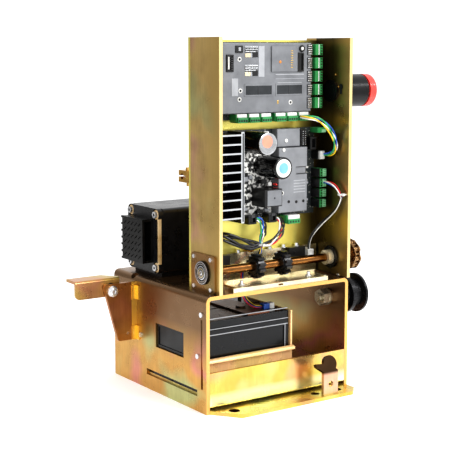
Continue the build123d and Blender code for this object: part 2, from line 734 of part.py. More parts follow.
def battery(front):
    """One battery: a case with a sunk front panel, a stepped lid and two tabs."""
    back = front + BATTERY_WIDTH
    joint = BATTERY_TOP - BATTERY_LID
    case = block((BATTERY_LEFT, front, BATTERY_BOTTOM), (BATTERY_RIGHT, back, joint))
    case = fillet(case.edges().filter_by(Axis.Z), BATTERY_EDGE)
    case -= block((BATTERY_LEFT + PANEL_INSET, front - PAST, BATTERY_BOTTOM + PANEL_INSET),
                  (BATTERY_RIGHT - PANEL_INSET, front + PANEL_DEPTH, joint - PANEL_INSET))
    lid = block((BATTERY_LEFT + LID_STEP, front + LID_STEP, joint),
                (BATTERY_RIGHT - LID_STEP, back - LID_STEP, BATTERY_TOP))
    lid = fillet(lid.edges().group_by(Axis.Z)[-1], LID_ROUND)
    y = front + BATTERY_WIDTH / 2
    for x in (BATTERY_LEFT + TERMINAL_INSET, BATTERY_RIGHT - TERMINAL_INSET - TERMINAL_SIZE):
        tab_end = (x + TERMINAL_SIZE, y + TERMINAL_SHEET, BATTERY_TOP + TERMINAL_SIZE)
        lid += block((x, y, BATTERY_TOP), tab_end)
    return case + lid


def battery_strap():
    """Strap that lies on the batteries and turns down behind the tray, with a pressed dimple."""
    low = BATTERY_TOP + SEAT_GAP
    high = low + STRAP_SHEET
    right = STRAP_LEFT + STRAP_WIDTH
    back = tray_back() + SEAT_GAP
    end = back + STRAP_SHEET
    strap = block((STRAP_LEFT, BATTERY_FRONT + STRAP_FROM_FRONT, low), (right, end, high))
    strap += block((STRAP_LEFT, back, low - STRAP_LEG), (right, end, high))
    x = STRAP_LEFT + STRAP_WIDTH / 2
    y = BATTERY_FRONT + STRAP_DIMPLE_BACK
    return strap + bar_z(x, y, STRAP_DIMPLE_RADIUS, low, high + STRAP_DIMPLE_RISE)


def lever_bracket():
    """Tapered plate that stands out from the left wall, with two lugs along its root."""
    face = outline([(0, BRACKET_BOTTOM), (0, BRACKET_TOP), (-BRACKET_REACH_TOP, BRACKET_TOP),
                    (-BRACKET_REACH_BOTTOM, BRACKET_BOTTOM)])
    face = fillet(face.vertices().sort_by(Axis.X)[0:2], BRACKET_CORNER)
    plate = along_y(face, BRACKET_FRONT, BRACKET_BACK)
    start = BRACKET_FRONT - PAST
    end = BRACKET_BACK + PAST
    plate -= bar_y(PIVOT_X, PIVOT_Z, PIVOT_BOLT_RADIUS + RUNNING_GAP, start, end)
    hole_z = BRACKET_BOTTOM + BRACKET_HOLE_UP
    plate -= bar_y(-BRACKET_HOLE_OUT, hole_z, BRACKET_HOLE_RADIUS, start, end)
    return group(plate, *bracket_lugs())


def bracket_lugs():
    """Two folded lugs that hold the bracket's root to the wall."""
    lugs = []
    front = BRACKET_FRONT - LUG_REACH
    turn_front = BRACKET_FRONT - LUG_SHEET
    for low in (BRACKET_BOTTOM, BRACKET_TOP - LUG_HEIGHT - LUG_BELOW_TOP):
        top = low + LUG_HEIGHT
        foot = block((-LUG_SHEET, front, low), (0, BRACKET_FRONT, top))
        turn = block((-LUG_REACH, turn_front, low), (-LUG_SHEET, BRACKET_FRONT, top))
        lugs.append(foot + turn)
    return lugs


def release_lever():
    """Bent lever: an upright web with a pad that turns back from its top edge."""
    bottom = PIVOT_Z - LEVER_BELOW_PIVOT
    top = bottom + LEVER_HEIGHT
    left = PIVOT_X - LEVER_REACH
    right = PIVOT_X + LEVER_TAIL
    inner = LEVER_FRONT + LEVER_SHEET
    back = LEVER_FRONT + LEVER_PAD
    profile = [(LEVER_FRONT, bottom), (LEVER_FRONT, top), (back, top), (back, top - LEVER_SHEET)]
    profile += [(inner, top - LEVER_SHEET), (inner, bottom)]
    face = outline(profile)
    bend = face.vertices().sort_by(lambda v: v.X - v.Y)[0]
    lever = along_x(fillet(bend, LEVER_BEND), left, right)
    corner = lever.edges().filter_by(Axis.Y).group_by(Axis.Z)[0].sort_by(Axis.X)[0]
    lever = fillet(corner, LEVER_CORNER)
    cut = outline([(right + PAST, LEVER_FRONT + LEVER_CUT_BACK), (right + PAST, back + PAST),
                   (right - LEVER_CUT_SIDE, back + PAST)])
    lever -= Pos(0, 0, bottom - PAST) * extrude(cut, LEVER_HEIGHT + 2 * PAST)
    return lever - bar_y(PIVOT_X, PIVOT_Z, PIVOT_BOLT_RADIUS + RUNNING_GAP, LEVER_FRONT - PAST, back)


def pivot_bolt():
    """Bolt through the bracket and the lever, with its nut behind the lever."""
    start = BRACKET_FRONT - BOLT_HEAD_HEIGHT
    nut_from = LEVER_FRONT + LEVER_SHEET + SEAT_GAP
    head = hexagon_y(PIVOT_X, PIVOT_Z, BOLT_HEAD_RADIUS, start, BRACKET_FRONT)
    shank = bar_y(PIVOT_X, PIVOT_Z, PIVOT_BOLT_RADIUS, BRACKET_FRONT, nut_from + PIVOT_THREAD)
    nut = hexagon_y(PIVOT_X, PIVOT_Z, BOLT_HEAD_RADIUS, nut_from, nut_from + PIVOT_NUT)
    return head + shank + nut


def pivot_washer():
    """Black washer between the bracket and the lever."""
    end = LEVER_FRONT - WASHER_PLAY
    ring = bar_y(PIVOT_X, PIVOT_Z, PIVOT_WASHER_RADIUS, BRACKET_BACK, end)
    hole = PIVOT_BOLT_RADIUS + RUNNING_GAP
    return ring - bar_y(PIVOT_X, PIVOT_Z, hole, BRACKET_BACK - PAST, LEVER_FRONT)


def control_channel():
    """Upright channel: left panel, back panel and a deeper right panel."""
    left = BOX_LEFT
    right = BOX_RIGHT
    right_back = BOX_DEPTH + BOX_RIGHT_EXTRA
    face = outline([(left, 0), (left + BOX_SHEET, 0), (left + BOX_SHEET, BACK_INNER_Y),
                    (right - BOX_SHEET, BACK_INNER_Y), (right - BOX_SHEET, 0), (right, 0),
                    (right, right_back), (right - BOX_SHEET, right_back),
                    (right - BOX_SHEET, BOX_DEPTH), (left, BOX_DEPTH)])
    bend = face.vertices().sort_by(lambda v: v.X - v.Y)[0]
    face = fillet(bend, BOX_BEND)
    body = Pos(0, 0, CHASSIS_TOP) * extrude(face, BOX_HEIGHT)
    body -= block((left + BOX_SHEET, BACK_INNER_Y - PAST, BOX_TOP - BOX_BACK_DROP),
                  (right - BOX_SHEET, BOX_DEPTH + PAST, BOX_TOP + PAST))
    inside = right - BOX_SHEET - PAST
    body -= bar_x(LIMIT_Y, LIMIT_Z, BEARING_OUTER_RADIUS, left - PAST, left + BOX_SHEET + PAST)
    body -= bar_x(LIMIT_Y, LIMIT_Z, BEARING_OUTER_RADIUS, inside, right + PAST)
    return body - bar_x(BUTTON_Y, BUTTON_Z, BUTTON_NECK_RADIUS, inside, right + PAST)


def bearing_plates():
    """Plates that hold the two bearings on the side panels."""
    centre = Pos(LIMIT_Y, LIMIT_Z)
    face = centre * RectangleRounded(BEARING_PLATE, BEARING_PLATE_HEIGHT, BEARING_PLATE_CORNER)
    face -= centre * Circle(BEARING_OUTER_RADIUS)
    starts = (BOX_LEFT - BEARING_PLATE_SHEET, BOX_RIGHT)
    return group(*[along_x(face, start, start + BEARING_PLATE_SHEET) for start in starts])


def bearing_starts():
    """Where each bearing begins along the shaft."""
    left = BOX_LEFT - LEFT_BEARING_PROUD
    right = BOX_RIGHT + BEARING_PLATE_SHEET - BEARING_WIDTH
    return (left, right)


def bearing_outer_rings():
    """Outer rings, pressed into the panels and their plates."""
    return group(*[
        tube_x(LIMIT_Y, LIMIT_Z, BEARING_OUTER_RADIUS, BEARING_OUTER_RADIUS - BEARING_RING,
               start, start + BEARING_WIDTH)
        for start in bearing_starts()
    ])


def bearing_seals():
    """Black seals between the rings of each bearing."""
    inner = LIMIT_SHAFT_RADIUS + BEARING_RING + RUNNING_GAP
    outer = BEARING_OUTER_RADIUS - BEARING_RING
    length = BEARING_WIDTH - 2 * BEARING_SEAL_INSET
    starts = [start + BEARING_SEAL_INSET for start in bearing_starts()]
    return [tube_x(LIMIT_Y, LIMIT_Z, outer, inner, start, start + length) for start in starts]


def bearing_inner_rings():
    """Inner rings, which turn with the limit shaft."""
    return group(*[
        tube_x(LIMIT_Y, LIMIT_Z, LIMIT_SHAFT_RADIUS + BEARING_RING, LIMIT_SHAFT_RADIUS,
               start, start + BEARING_WIDTH)
        for start in bearing_starts()
    ])


def limit_shaft():
    """Long shaft on two bearings, with a socket in its left end."""
    start = BOX_LEFT - LEFT_BEARING_PROUD
    end = CHAIN_X + CHAIN_INNER_WIDTH
    shaft = bar_x(LIMIT_Y, LIMIT_Z, LIMIT_SHAFT_RADIUS, start, end)
    shaft = chamfer(shaft.edges().group_by(Axis.X)[-1], SHAFT_CHAMFER)
    return shaft - bar_x(LIMIT_Y, LIMIT_Z, SHAFT_SOCKET_RADIUS, start - PAST, start + SHAFT_SOCKET_DEPTH)


def shaft_collars():
    """Collars that keep the shaft from sliding out of its bearings."""
    starts = bearing_starts()
    left = starts[0] + BEARING_WIDTH
    right = starts[1] - COLLAR_LENGTH
    return group(*[
        tube_x(LIMIT_Y, LIMIT_Z, COLLAR_RADIUS, LIMIT_SHAFT_RADIUS, x, x + COLLAR_LENGTH)
        for x in (left, right)
    ])


def limit_nut(x):
    """Limit nut: a notched rim with a short hub on each side, running on the shaft."""
    face = Circle(NUT_RADIUS)
    notch = Pos(0, NUT_RADIUS) * Rectangle(NUT_NOTCH_WIDTH, 2 * NUT_NOTCH_DEPTH)
    for i in range(NUT_TEETH):
        face -= Rot(0, 0, 360 / NUT_TEETH * i) * notch
    wheel = along_x(Pos(LIMIT_Y, LIMIT_Z) * face, x, x + NUT_WIDTH)
    start = x - NUT_HUB_LENGTH
    end = x + NUT_WIDTH + NUT_HUB_LENGTH
    nut = wheel + bar_x(LIMIT_Y, LIMIT_Z, NUT_HUB_RADIUS, start, end)
    return nut - bar_x(LIMIT_Y, LIMIT_Z, LIMIT_SHAFT_RADIUS + RUNNING_GAP, start - PAST, end + PAST)


def detent_plate():
    """Angle whose upright edge sits in the notches of both nuts, with two guide holes."""
    bottom = CHASSIS_TOP + DETENT_LIFT
    top = bottom + DETENT_SHEET
    edge = LIMIT_Z - NUT_RADIUS + DETENT_BITE
    upright_y = LIMIT_Y - DETENT_SHEET / 2
    back = upright_y + DETENT_SHEET
    plate = block((DETENT_LEFT, DETENT_FRONT, bottom), (DETENT_RIGHT, back, top))
    plate += block((DETENT_LEFT, upright_y, bottom), (DETENT_RIGHT, back, edge))
    for x in POST_XS:
        plate -= bar_z(x, POST_Y, POST_RADIUS + SEAT_GAP, bottom - PAST, top + PAST)
    return plate


def detent_posts():
    """Guide posts with a head that stops the plate."""
    stop = CHASSIS_TOP + DETENT_LIFT + DETENT_SHEET + SEAT_GAP
    posts = []
    for x in POST_XS:
        post = bar_z(x, POST_Y, POST_RADIUS, CHASSIS_TOP, CHASSIS_TOP + POST_HEIGHT)
        posts.append(post + bar_z(x, POST_Y, POST_HEAD_RADIUS, stop, stop + POST_HEAD_HEIGHT))
    return group(*posts)


def detent_springs():
    """Coned spring rings round the posts, under the plate."""
    low = CHASSIS_TOP
    high = CHASSIS_TOP + DETENT_LIFT
    hole = POST_RADIUS + SPRING_PLAY
    foot = hole + SPRING_FLARE
    face = outline([(foot, low), (foot + SPRING_WALL, low), (hole + SPRING_WALL, high), (hole, high)])
    ring = revolve(Plane.XZ * face, Axis.Z)
    return group(*[Pos(x, POST_Y, 0) * ring for x in POST_XS])


def detent_strip():
    """Front guide strip on the chassis, slotted near its middle."""
    left = DETENT_LEFT - STRIP_PAST_LEFT
    right = DETENT_RIGHT - STRIP_SHORT_RIGHT
    back = STRIP_Y + STRIP_SHEET
    top = CHASSIS_TOP + STRIP_HEIGHT
    strip = block((left, STRIP_Y, CHASSIS_TOP), (right, back, top))
    slot = (left + right) / 2 - STRIP_SLOT_SHIFT
    return strip - block((slot, STRIP_Y - PAST, CHASSIS_TOP + STRIP_SLOT_FOOT),
                         (slot + STRIP_SLOT_LENGTH, back + PAST, top - STRIP_SLOT_TOP))


def switch_rail():
    """Angle behind the shaft that carries the limit switches."""
    left = BOX_LEFT + BOX_SHEET
    right = BOX_RIGHT - BOX_SHEET - RAIL_SHEET
    rail_top = SWITCH_Z + SWITCH_HEIGHT
    rail = block((left, SWITCH_BACK, CHASSIS_TOP), (right, SWITCH_BACK + RAIL_SHEET, rail_top))
    foot_front = SWITCH_BACK - RAIL_FOOT
    return rail + block((left, foot_front, CHASSIS_TOP), (right, SWITCH_BACK, CHASSIS_TOP + RAIL_SHEET))


def limit_switches():
    """Two snap switches, each with a plunger that faces the shaft."""
    switches = []
    top = SWITCH_Z + SWITCH_HEIGHT
    middle = (SWITCH_Z + top) / 2
    for x in (SWITCH_LEFT_X, SWITCH_RIGHT_X):
        case = block((x, SWITCH_Y, SWITCH_Z), (x + SWITCH_LENGTH, SWITCH_BACK, top))
        plunger_x = x + SWITCH_LENGTH / 3
        switches.append(case + bar_y(plunger_x, middle, PLUNGER_RADIUS, SWITCH_Y - PLUNGER_REACH, SWITCH_Y))
    return group(*switches)


def pitch_radius(teeth):
    """Pitch radius of a chain wheel."""
    return CHAIN_PITCH / 2 / math.sin(math.pi / teeth)


def chain_wheel_face(teeth):
    """Toothed outline: a round seat for each roller, and flanks that let the next one leave."""
    pitch = pitch_radius(teeth)
    step = 360 / teeth
    seat = ROLLER_RADIUS + TOOTH_GAP
    tip = CHAIN_PITCH * (TIP_FACTOR + 1 / math.tan(math.pi / teeth)) / 2
    face = Circle(pitch * math.cos(math.pi / teeth))
    flank = Pos(pitch, 0) * Circle(CHAIN_PITCH - seat)
    tooth = flank & (Rot(0, 0, step) * flank) & Circle(tip)
    for i in range(teeth):
        face -= Rot(0, 0, step * i) * Pos(pitch, 0) * Circle(seat)
    for i in range(teeth):
        face += Rot(0, 0, step * i) * tooth
    return face


def chain_wheel(teeth, y, z, x, bore):
    """One chain wheel, centred on x, with a seat on the line between the two shafts."""
    face = Pos(y, z) * Rot(0, 0, CHAIN_ANGLE) * chain_wheel_face(teeth)
    wheel = along_x(face, x - TOOTH_WIDTH / 2, x + TOOTH_WIDTH / 2)
    return wheel - bar_x(y, z, bore, x - TOOTH_WIDTH, x + TOOTH_WIDTH)


def limit_wheel():
    """Small chain wheel on the limit shaft, with its hub towards the panel."""
    hub_from = BOX_RIGHT + BEARING_PLATE_SHEET + HUB_GAP
    hub_to = CHAIN_X - TOOTH_WIDTH / 2
    hub = tube_x(LIMIT_Y, LIMIT_Z, HUB_RADIUS, LIMIT_SHAFT_RADIUS, hub_from, hub_to)
    return chain_wheel(LIMIT_TEETH, LIMIT_Y, LIMIT_Z, CHAIN_X, LIMIT_SHAFT_RADIUS) + hub


def output_limit_wheel():
    """The like wheel on the output shaft."""
    return chain_wheel(LIMIT_TEETH, OUTPUT_Y, OUTPUT_Z, CHAIN_X, OUTPUT_END_RADIUS)


def drive_hub_end():
    """Where the hub of the drive wheel ends, which is also the step of the output shaft."""
    return DRIVE_X + TOOTH_WIDTH / 2 + DRIVE_HUB_LENGTH


def drive_wheel():
    """Wheel that pulls the gate's own chain, with a hub on its right."""
    wheel = chain_wheel(DRIVE_TEETH, OUTPUT_Y, OUTPUT_Z, DRIVE_X, OUTPUT_RADIUS)
    start = DRIVE_X + TOOTH_WIDTH / 2
    hub = tube_x(OUTPUT_Y, OUTPUT_Z, DRIVE_HUB_RADIUS, OUTPUT_RADIUS, start, drive_hub_end())
    return wheel + hub


def output_shaft():
    """Shaft from the gear case, stepped down where the limit wheel sits."""
    step = drive_hub_end()
    start = GEAR_CASE_RIGHT - CASE_BORE_DEPTH
    end = CHAIN_X + OUTPUT_PAST_CHAIN
    thick = bar_x(OUTPUT_Y, OUTPUT_Z, OUTPUT_RADIUS, start, step)
    thin = bar_x(OUTPUT_Y, OUTPUT_Z, OUTPUT_END_RADIUS, step, end)
    return thick + chamfer(thin.edges().group_by(Axis.X)[-1], SHAFT_CHAMFER)


def chain_pins():
    """Where the pins lie, round both wheels and along both spans."""
    radius = pitch_radius(LIMIT_TEETH)
    step = 360 / LIMIT_TEETH
    turn = math.radians(CHAIN_ANGLE)
    local = [(CHAIN_PITCH * i, radius) for i in range(CHAIN_SPAN_LINKS)]
    wraps = LIMIT_TEETH // 2
    for i in range(wraps):
        angle = math.radians(90 - step * i)
        local.append((CHAIN_SPAN + radius * math.cos(angle), radius * math.sin(angle)))
    local += [(CHAIN_SPAN - CHAIN_PITCH * i, -radius) for i in range(CHAIN_SPAN_LINKS)]
    for i in range(wraps):
        angle = math.radians(-90 - step * i)
        local.append((radius * math.cos(angle), radius * math.sin(angle)))
    pins = []
    for u, v in local:
        y = LIMIT_Y + u * math.cos(turn) - v * math.sin(turn)
        z = LIMIT_Z + u * math.sin(turn) + v * math.cos(turn)
        pins.append((y, z))
    return pins


def inner_link():
    """Two plates joined by two rollers, drawn along Y from the first roller."""
    half = CHAIN_INNER_WIDTH / 2
    outside = half + CHAIN_PLATE
    face = Pos(CHAIN_PITCH / 2, 0) * SlotCenterToCenter(CHAIN_PITCH, CHAIN_PLATE_HEIGHT)
    link = along_x(face, half, outside) + along_x(face, -outside, -half)
    for y in (0, CHAIN_PITCH):
        link += bar_x(y, 0, ROLLER_RADIUS, -half, half)
    for y in (0, CHAIN_PITCH):
        link -= bar_x(y, 0, CHAIN_PIN_RADIUS + RUNNING_GAP, -outside - PAST, outside + PAST)
    return link


def outer_link():
    """Two outer plates joined by two pins."""
    inside = CHAIN_INNER_WIDTH / 2 + CHAIN_PLATE + RUNNING_GAP
    outside = inside + CHAIN_PLATE
    reach = outside + CHAIN_PIN_HEAD
    face = Pos(CHAIN_PITCH / 2, 0) * SlotCenterToCenter(CHAIN_PITCH, CHAIN_PLATE_HEIGHT)
    link = along_x(face, inside, outside) + along_x(face, -outside, -inside)
    for y in (0, CHAIN_PITCH):
        link += bar_x(y, 0, CHAIN_PIN_RADIUS, -reach, reach)
    return link


def limit_chain():
    """Closed roller chain between the output shaft and the limit shaft."""
    pins = chain_pins()
    shapes = (inner_link(), outer_link())
    links = []
    for i, (y, z) in enumerate(pins):
        next_y, next_z = pins[(i + 1) % len(pins)]
        angle = math.degrees(math.atan2(next_z - z, next_y - y))
        links.append(Pos(CHAIN_X, y, z) * Rot(angle, 0, 0) * shapes[i % 2])
    return group(*links)


def gear_case():
    """Gear case: the motor enters high behind, and the output shaft leaves in front."""
    front = OUTPUT_Y - GEAR_CASE_RADIUS
    back = MOTOR_Y + MOTOR_SIZE / 2
    top = MOTOR_BOTTOM + MOTOR_HEIGHT
    low = OUTPUT_Z - GEAR_CASE_RADIUS
    high = OUTPUT_Z + GEAR_CASE_RADIUS
    face = outline([(front, low), (back, low), (back, top), (MOTOR_FRONT, top), (front, high)])
    face = fillet(face.vertices().sort_by(Axis.X)[:2], GEAR_CASE_NOSE)
    face = fillet(face.vertices().sort_by(Axis.X)[-2:], MOTOR_CORNER)
    case = along_x(face, GEAR_CASE_LEFT, GEAR_CASE_RIGHT)
    case += bar_x(OUTPUT_Y, OUTPUT_Z, GEAR_BOSS_RADIUS, GEAR_CASE_RIGHT, GEAR_BOSS_END)
    foot_front = OUTPUT_Y - GEAR_FOOT_FRONT
    foot_back = back - GEAR_FOOT_INSET
    case += block((GEAR_CASE_LEFT, foot_front, CHASSIS_TOP),
                  (GEAR_CASE_RIGHT, foot_back, low + GEAR_FOOT_SINK))
    start = GEAR_CASE_RIGHT - CASE_BORE_DEPTH
    return case - bar_x(OUTPUT_Y, OUTPUT_Z, OUTPUT_RADIUS + RUNNING_GAP, start, GEAR_BOSS_END + PAST)


def motor_foot():
    """Block under the motor."""
    half = MOTOR_SIZE / 2 - MOTOR_FOOT_INSET
    left = MOTOR_LEFT + END_CAP
    return block((left, MOTOR_Y - half, CHASSIS_TOP), (GEAR_CASE_LEFT, MOTOR_Y + half, MOTOR_BOTTOM))


def rubber_rings():
    """Seals of both bearings, the lip seal of the gear case and the cable grommet."""
    lip = tube_x(OUTPUT_Y, OUTPUT_Z, LIP_SEAL_RADIUS, OUTPUT_RADIUS + RUNNING_GAP,
                 GEAR_BOSS_END, GEAR_BOSS_END + LIP_SEAL_WIDTH)
    top = CHASSIS_TOP + GROMMET_FLANGE
    foot = CHASSIS_TOP - SHEET - GROMMET_FLANGE
    grommet = bar_z(GROMMET_X, GROMMET_Y, GROMMET_HOLE_RADIUS, foot, top)
    grommet += bar_z(GROMMET_X, GROMMET_Y, GROMMET_FLANGE_RADIUS, foot, foot + GROMMET_FLANGE)
    grommet += bar_z(GROMMET_X, GROMMET_Y, GROMMET_FLANGE_RADIUS, CHASSIS_TOP, top)
    grommet -= bar_z(GROMMET_X, GROMMET_Y, GROMMET_BORE_RADIUS, foot - PAST, top + PAST)
    return group(lip, grommet, *bearing_seals())


def motor_body():
    """Square motor body with rounded edges, on its foot."""
    face = Pos(MOTOR_Y, MOTOR_Z) * RectangleRounded(MOTOR_SIZE, MOTOR_HEIGHT, MOTOR_CORNER)
    return along_x(face, MOTOR_LEFT + END_CAP, GEAR_CASE_LEFT) + motor_foot()


def motor_corners():
    """Screw places at the corners of the motor's end."""
    dy = MOTOR_SIZE / 2 - MOTOR_SCREW_INSET
    dz = MOTOR_HEIGHT / 2 - MOTOR_SCREW_INSET
    return [(MOTOR_Y + a * dy, MOTOR_Z + b * dz) for a in (-1, 1) for b in (-1, 1)]


def motor_end_cap():
    """Cast end cap with a round pocket at each corner for its screw."""
    face = Pos(MOTOR_Y, MOTOR_Z) * RectangleRounded(MOTOR_SIZE, MOTOR_HEIGHT, END_CAP_CORNER)
    cap = along_x(face, MOTOR_LEFT, MOTOR_LEFT + END_CAP)
    pocket_floor = MOTOR_LEFT + END_CAP_POCKET_DEPTH
    for y, z in motor_corners():
        cap -= bar_x(y, z, END_CAP_POCKET_RADIUS, MOTOR_LEFT - PAST, pocket_floor)
    return cap


def motor_screws():
    """Socket screws in the pockets of the motor's end cap."""
    seat = MOTOR_LEFT + END_CAP_POCKET_DEPTH
    front = seat - MOTOR_SCREW_HEAD
    socket_end = front + MOTOR_SCREW_SOCKET_DEPTH
    heads = []
    for y, z in motor_corners():
        head = bar_x(y, z, MOTOR_SCREW_RADIUS, front, seat)
        heads.append(head - bar_x(y, z, MOTOR_SCREW_SOCKET_RADIUS, front - PAST, socket_end))
    return heads


def fin_pad():
    """Cooling pad on the motor's end: a hollow block, open towards the front, with a lattice face."""
    front = MOTOR_LEFT - FIN_PAD_REACH
    low_y = MOTOR_Y - FIN_PAD_WIDTH / 2
    low_z = MOTOR_Z - FIN_PAD_HEIGHT / 2
    high_y = low_y + FIN_PAD_WIDTH
    high_z = low_z + FIN_PAD_HEIGHT
    wall = FIN_PAD_WALL
    pad = block((front, low_y, low_z), (MOTOR_LEFT, high_y, high_z))
    pad -= block((front + wall, low_y - PAST, low_z + wall),
                 (MOTOR_LEFT - wall, high_y - wall, high_z - wall))
    step_y = (FIN_PAD_WIDTH - 2 * wall) / LATTICE_COLUMNS
    step_z = (FIN_PAD_HEIGHT - 2 * wall) / LATTICE_ROWS
    half_y = (step_y - LATTICE_RIB) / 2
    half_z = (step_z - LATTICE_RIB) / 2
    hole = outline([(-half_y, half_z / 2), (half_y, -half_z), (half_y, -half_z / 2), (-half_y, half_z)])
    for i in range(LATTICE_COLUMNS):
        for j in range(LATTICE_ROWS):
            y = low_y + wall + (i + 0.5) * step_y
            z = low_z + wall + (j + 0.5) * step_z
            pad -= along_x(Pos(y, z) * hole, front - PAST, front + wall + PAST)
    nub_pitch = (FIN_PAD_HEIGHT - NUB_SIZE) / (NUB_COUNT - 1)
    for j in range(NUB_COUNT):
        z = low_z + j * nub_pitch
        pad += block((front, high_y, z), (front + wall, high_y + NUB_SIZE, z + NUB_SIZE))
    return pad


def idler_places():
    """Where the two idler wheels stand along Y."""
    return (IDLER_FROM_EDGE, BASE_DEPTH - IDLER_FROM_EDGE)


def idler_wheel(y):
    """Wheel with two grooves, a rib between them and a flange on each side."""
    middle = IDLER_WIDTH / 2
    rim = IDLER_RADIUS
    low = IDLER_GROOVE_RADIUS
    rib = IDLER_RIB / 2
    rib_foot = rib + IDLER_RIB_SLOPE
    rib_top = rim - IDLER_RIB_DROP
    flange_foot = IDLER_FLANGE + IDLER_SLOPE
    points = [(0, IDLER_BUSH_RADIUS), (0, rim), (IDLER_FLANGE, rim), (flange_foot, low)]
    points += [(middle - rib_foot, low), (middle - rib, rib_top)]
    points += [(middle + rib, rib_top), (middle + rib_foot, low)]
    points += [(IDLER_WIDTH - flange_foot, low), (IDLER_WIDTH - IDLER_FLANGE, rim)]
    points += [(IDLER_WIDTH, rim), (IDLER_WIDTH, IDLER_BUSH_RADIUS)]
    return Pos(IDLER_LEFT, y, IDLER_Z) * revolve(outline(points), Axis.X)


def idler_bush(y):
    """Bronze bush pressed into the wheel."""
    return tube_x(y, IDLER_Z, IDLER_BUSH_RADIUS, IDLER_BOLT_RADIUS + RUNNING_GAP, IDLER_LEFT, IDLER_RIGHT)


def idler_bolts():
    """Bolts that the wheels turn on: head, washers and nut, with a spacer next to the wall."""
    bolts = []
    wall = BASE_WIDTH - SHEET
    nut_end = wall - IDLER_INSIDE_WASHER
    end = IDLER_RIGHT + IDLER_PLAY
    head_from = end + IDLER_WASHER
    for y in idler_places():
        washer = bar_x(y, IDLER_Z, IDLER_WASHER_RADIUS, end, head_from)
        head = hexagon_x(y, IDLER_Z, IDLER_HEX_RADIUS, head_from, head_from + IDLER_HEAD)
        shank = bar_x(y, IDLER_Z, IDLER_BOLT_RADIUS, wall - IDLER_THREAD, end)
        inside = bar_x(y, IDLER_Z, IDLER_WASHER_RADIUS, nut_end, wall)
        nut = hexagon_x(y, IDLER_Z, IDLER_HEX_RADIUS, nut_end - IDLER_NUT, nut_end)
        spacer = bar_x(y, IDLER_Z, IDLER_WASHER_RADIUS, BASE_WIDTH, IDLER_LEFT - SEAT_GAP)
        bolts.append(washer + head + shank + inside + nut + spacer)
    return group(*bolts)


def reset_barrel():
    """Barrel of the reset button, with its neck and ring nut in the panel."""
    inner = BOX_RIGHT - BOX_SHEET
    end = BUTTON_BARREL_END
    barrel = bar_x(BUTTON_Y, BUTTON_Z, BUTTON_RADIUS, BOX_RIGHT, end)
    barrel += bar_x(BUTTON_Y, BUTTON_Z, BUTTON_NECK_RADIUS, inner - BUTTON_THREAD, BOX_RIGHT)
    barrel += bar_x(BUTTON_Y, BUTTON_Z, BUTTON_NUT_RADIUS, inner - BUTTON_NUT, inner)
    hole = BUTTON_STEM_RADIUS + RUNNING_GAP
    return barrel - bar_x(BUTTON_Y, BUTTON_Z, hole, end - BUTTON_BORE, end + PAST)


def reset_button():
    """Red cap of the reset button, with the stem that slides in the barrel."""
    start = BUTTON_BARREL_END + BUTTON_TRAVEL + SEAT_GAP
    cap = bar_x(BUTTON_Y, BUTTON_Z, BUTTON_RADIUS, start, start + BUTTON_CAP)
    cap = fillet(cap.edges().group_by(Axis.X)[-1], BUTTON_CAP_ROUND)
    stem_from = BUTTON_BARREL_END - BUTTON_STEM
    return cap + bar_x(BUTTON_Y, BUTTON_Z, BUTTON_STEM_RADIUS, stem_from, start)


def circuit_boards():
    """The upper and the lower circuit board."""
    back = BOARD_Y + BOARD_THICKNESS
    upper = block((MAIN_LEFT, BOARD_Y, MAIN_BOTTOM), (MAIN_RIGHT, back, MAIN_TOP))
    lower = block((POWER_LEFT, BOARD_Y, POWER_BOTTOM), (POWER_RIGHT, back, POWER_TOP))
    return group(upper, lower)


def main_cover():
    """Grey cover over the upper board, with a raised panel and the windows of two displays."""
    front = BOARD_Y - MAIN_COVER_DEPTH
    top = MAIN_TOP - MAIN_COVER_SHORT_TOP
    cover = block((MAIN_LEFT, front, MAIN_COVER_BOTTOM), (MAIN_COVER_RIGHT, BOARD_Y, top))
    cover = fillet(cover.edges().group_by(Axis.Y)[0], COVER_ROUND)
    cover -= block((MAIN_LEFT + COVER_WALL, front + COVER_WALL, MAIN_COVER_BOTTOM + COVER_WALL),
                   (MAIN_COVER_RIGHT - COVER_WALL, BOARD_Y + PAST, top - COVER_WALL))
    for i in range(2):
        right = MAIN_COVER_RIGHT - DISPLAY_FROM_RIGHT - i * DISPLAY_PITCH
        high = top - DISPLAY_BELOW_TOP
        cover -= block((right - DISPLAY_WIDTH, front - PAST, high - DISPLAY_HEIGHT),
                       (right, front + DISPLAY_DEPTH, high))
    right = MAIN_COVER_RIGHT - RAISED_FROM_RIGHT
    high = top - RAISED_BELOW_TOP
    raised = block((right - RAISED_WIDTH, front - RAISED_DEPTH, high - RAISED_HEIGHT), (right, front, high))
    return cover + raised


def plug(x, z, width, height):
    """Terminal plug in front of a board, from its low left corner, with two holes for wires."""
    front = BOARD_Y - PLUG_DEPTH
    body = block((x, front, z), (x + width, BOARD_Y, z + height))
    hole_end = front + PLUG_HOLE_DEPTH
    if height > width:
        places = [(x + width / 2, z + a) for a in (PLUG_HOLE_INSET, height - PLUG_HOLE_INSET)]
    else:
        places = [(x + a, z + height / 2) for a in (PLUG_HOLE_INSET, width - PLUG_HOLE_INSET)]
    for hole_x, hole_z in places:
        body -= bar_y(hole_x, hole_z, PLUG_HOLE_RADIUS, front - PAST, hole_end)
    return body


def right_plugs():
    """Column of plugs beside the cover of the upper board."""
    x = MAIN_COVER_RIGHT + PLUG_FROM_COVER
    high = MAIN_TOP - PLUG_BELOW_TOP - PLUG_LENGTH
    return [plug(x, high - i * PLUG_PITCH, PLUG_WIDTH, PLUG_LENGTH) for i in range(PLUG_COUNT)]


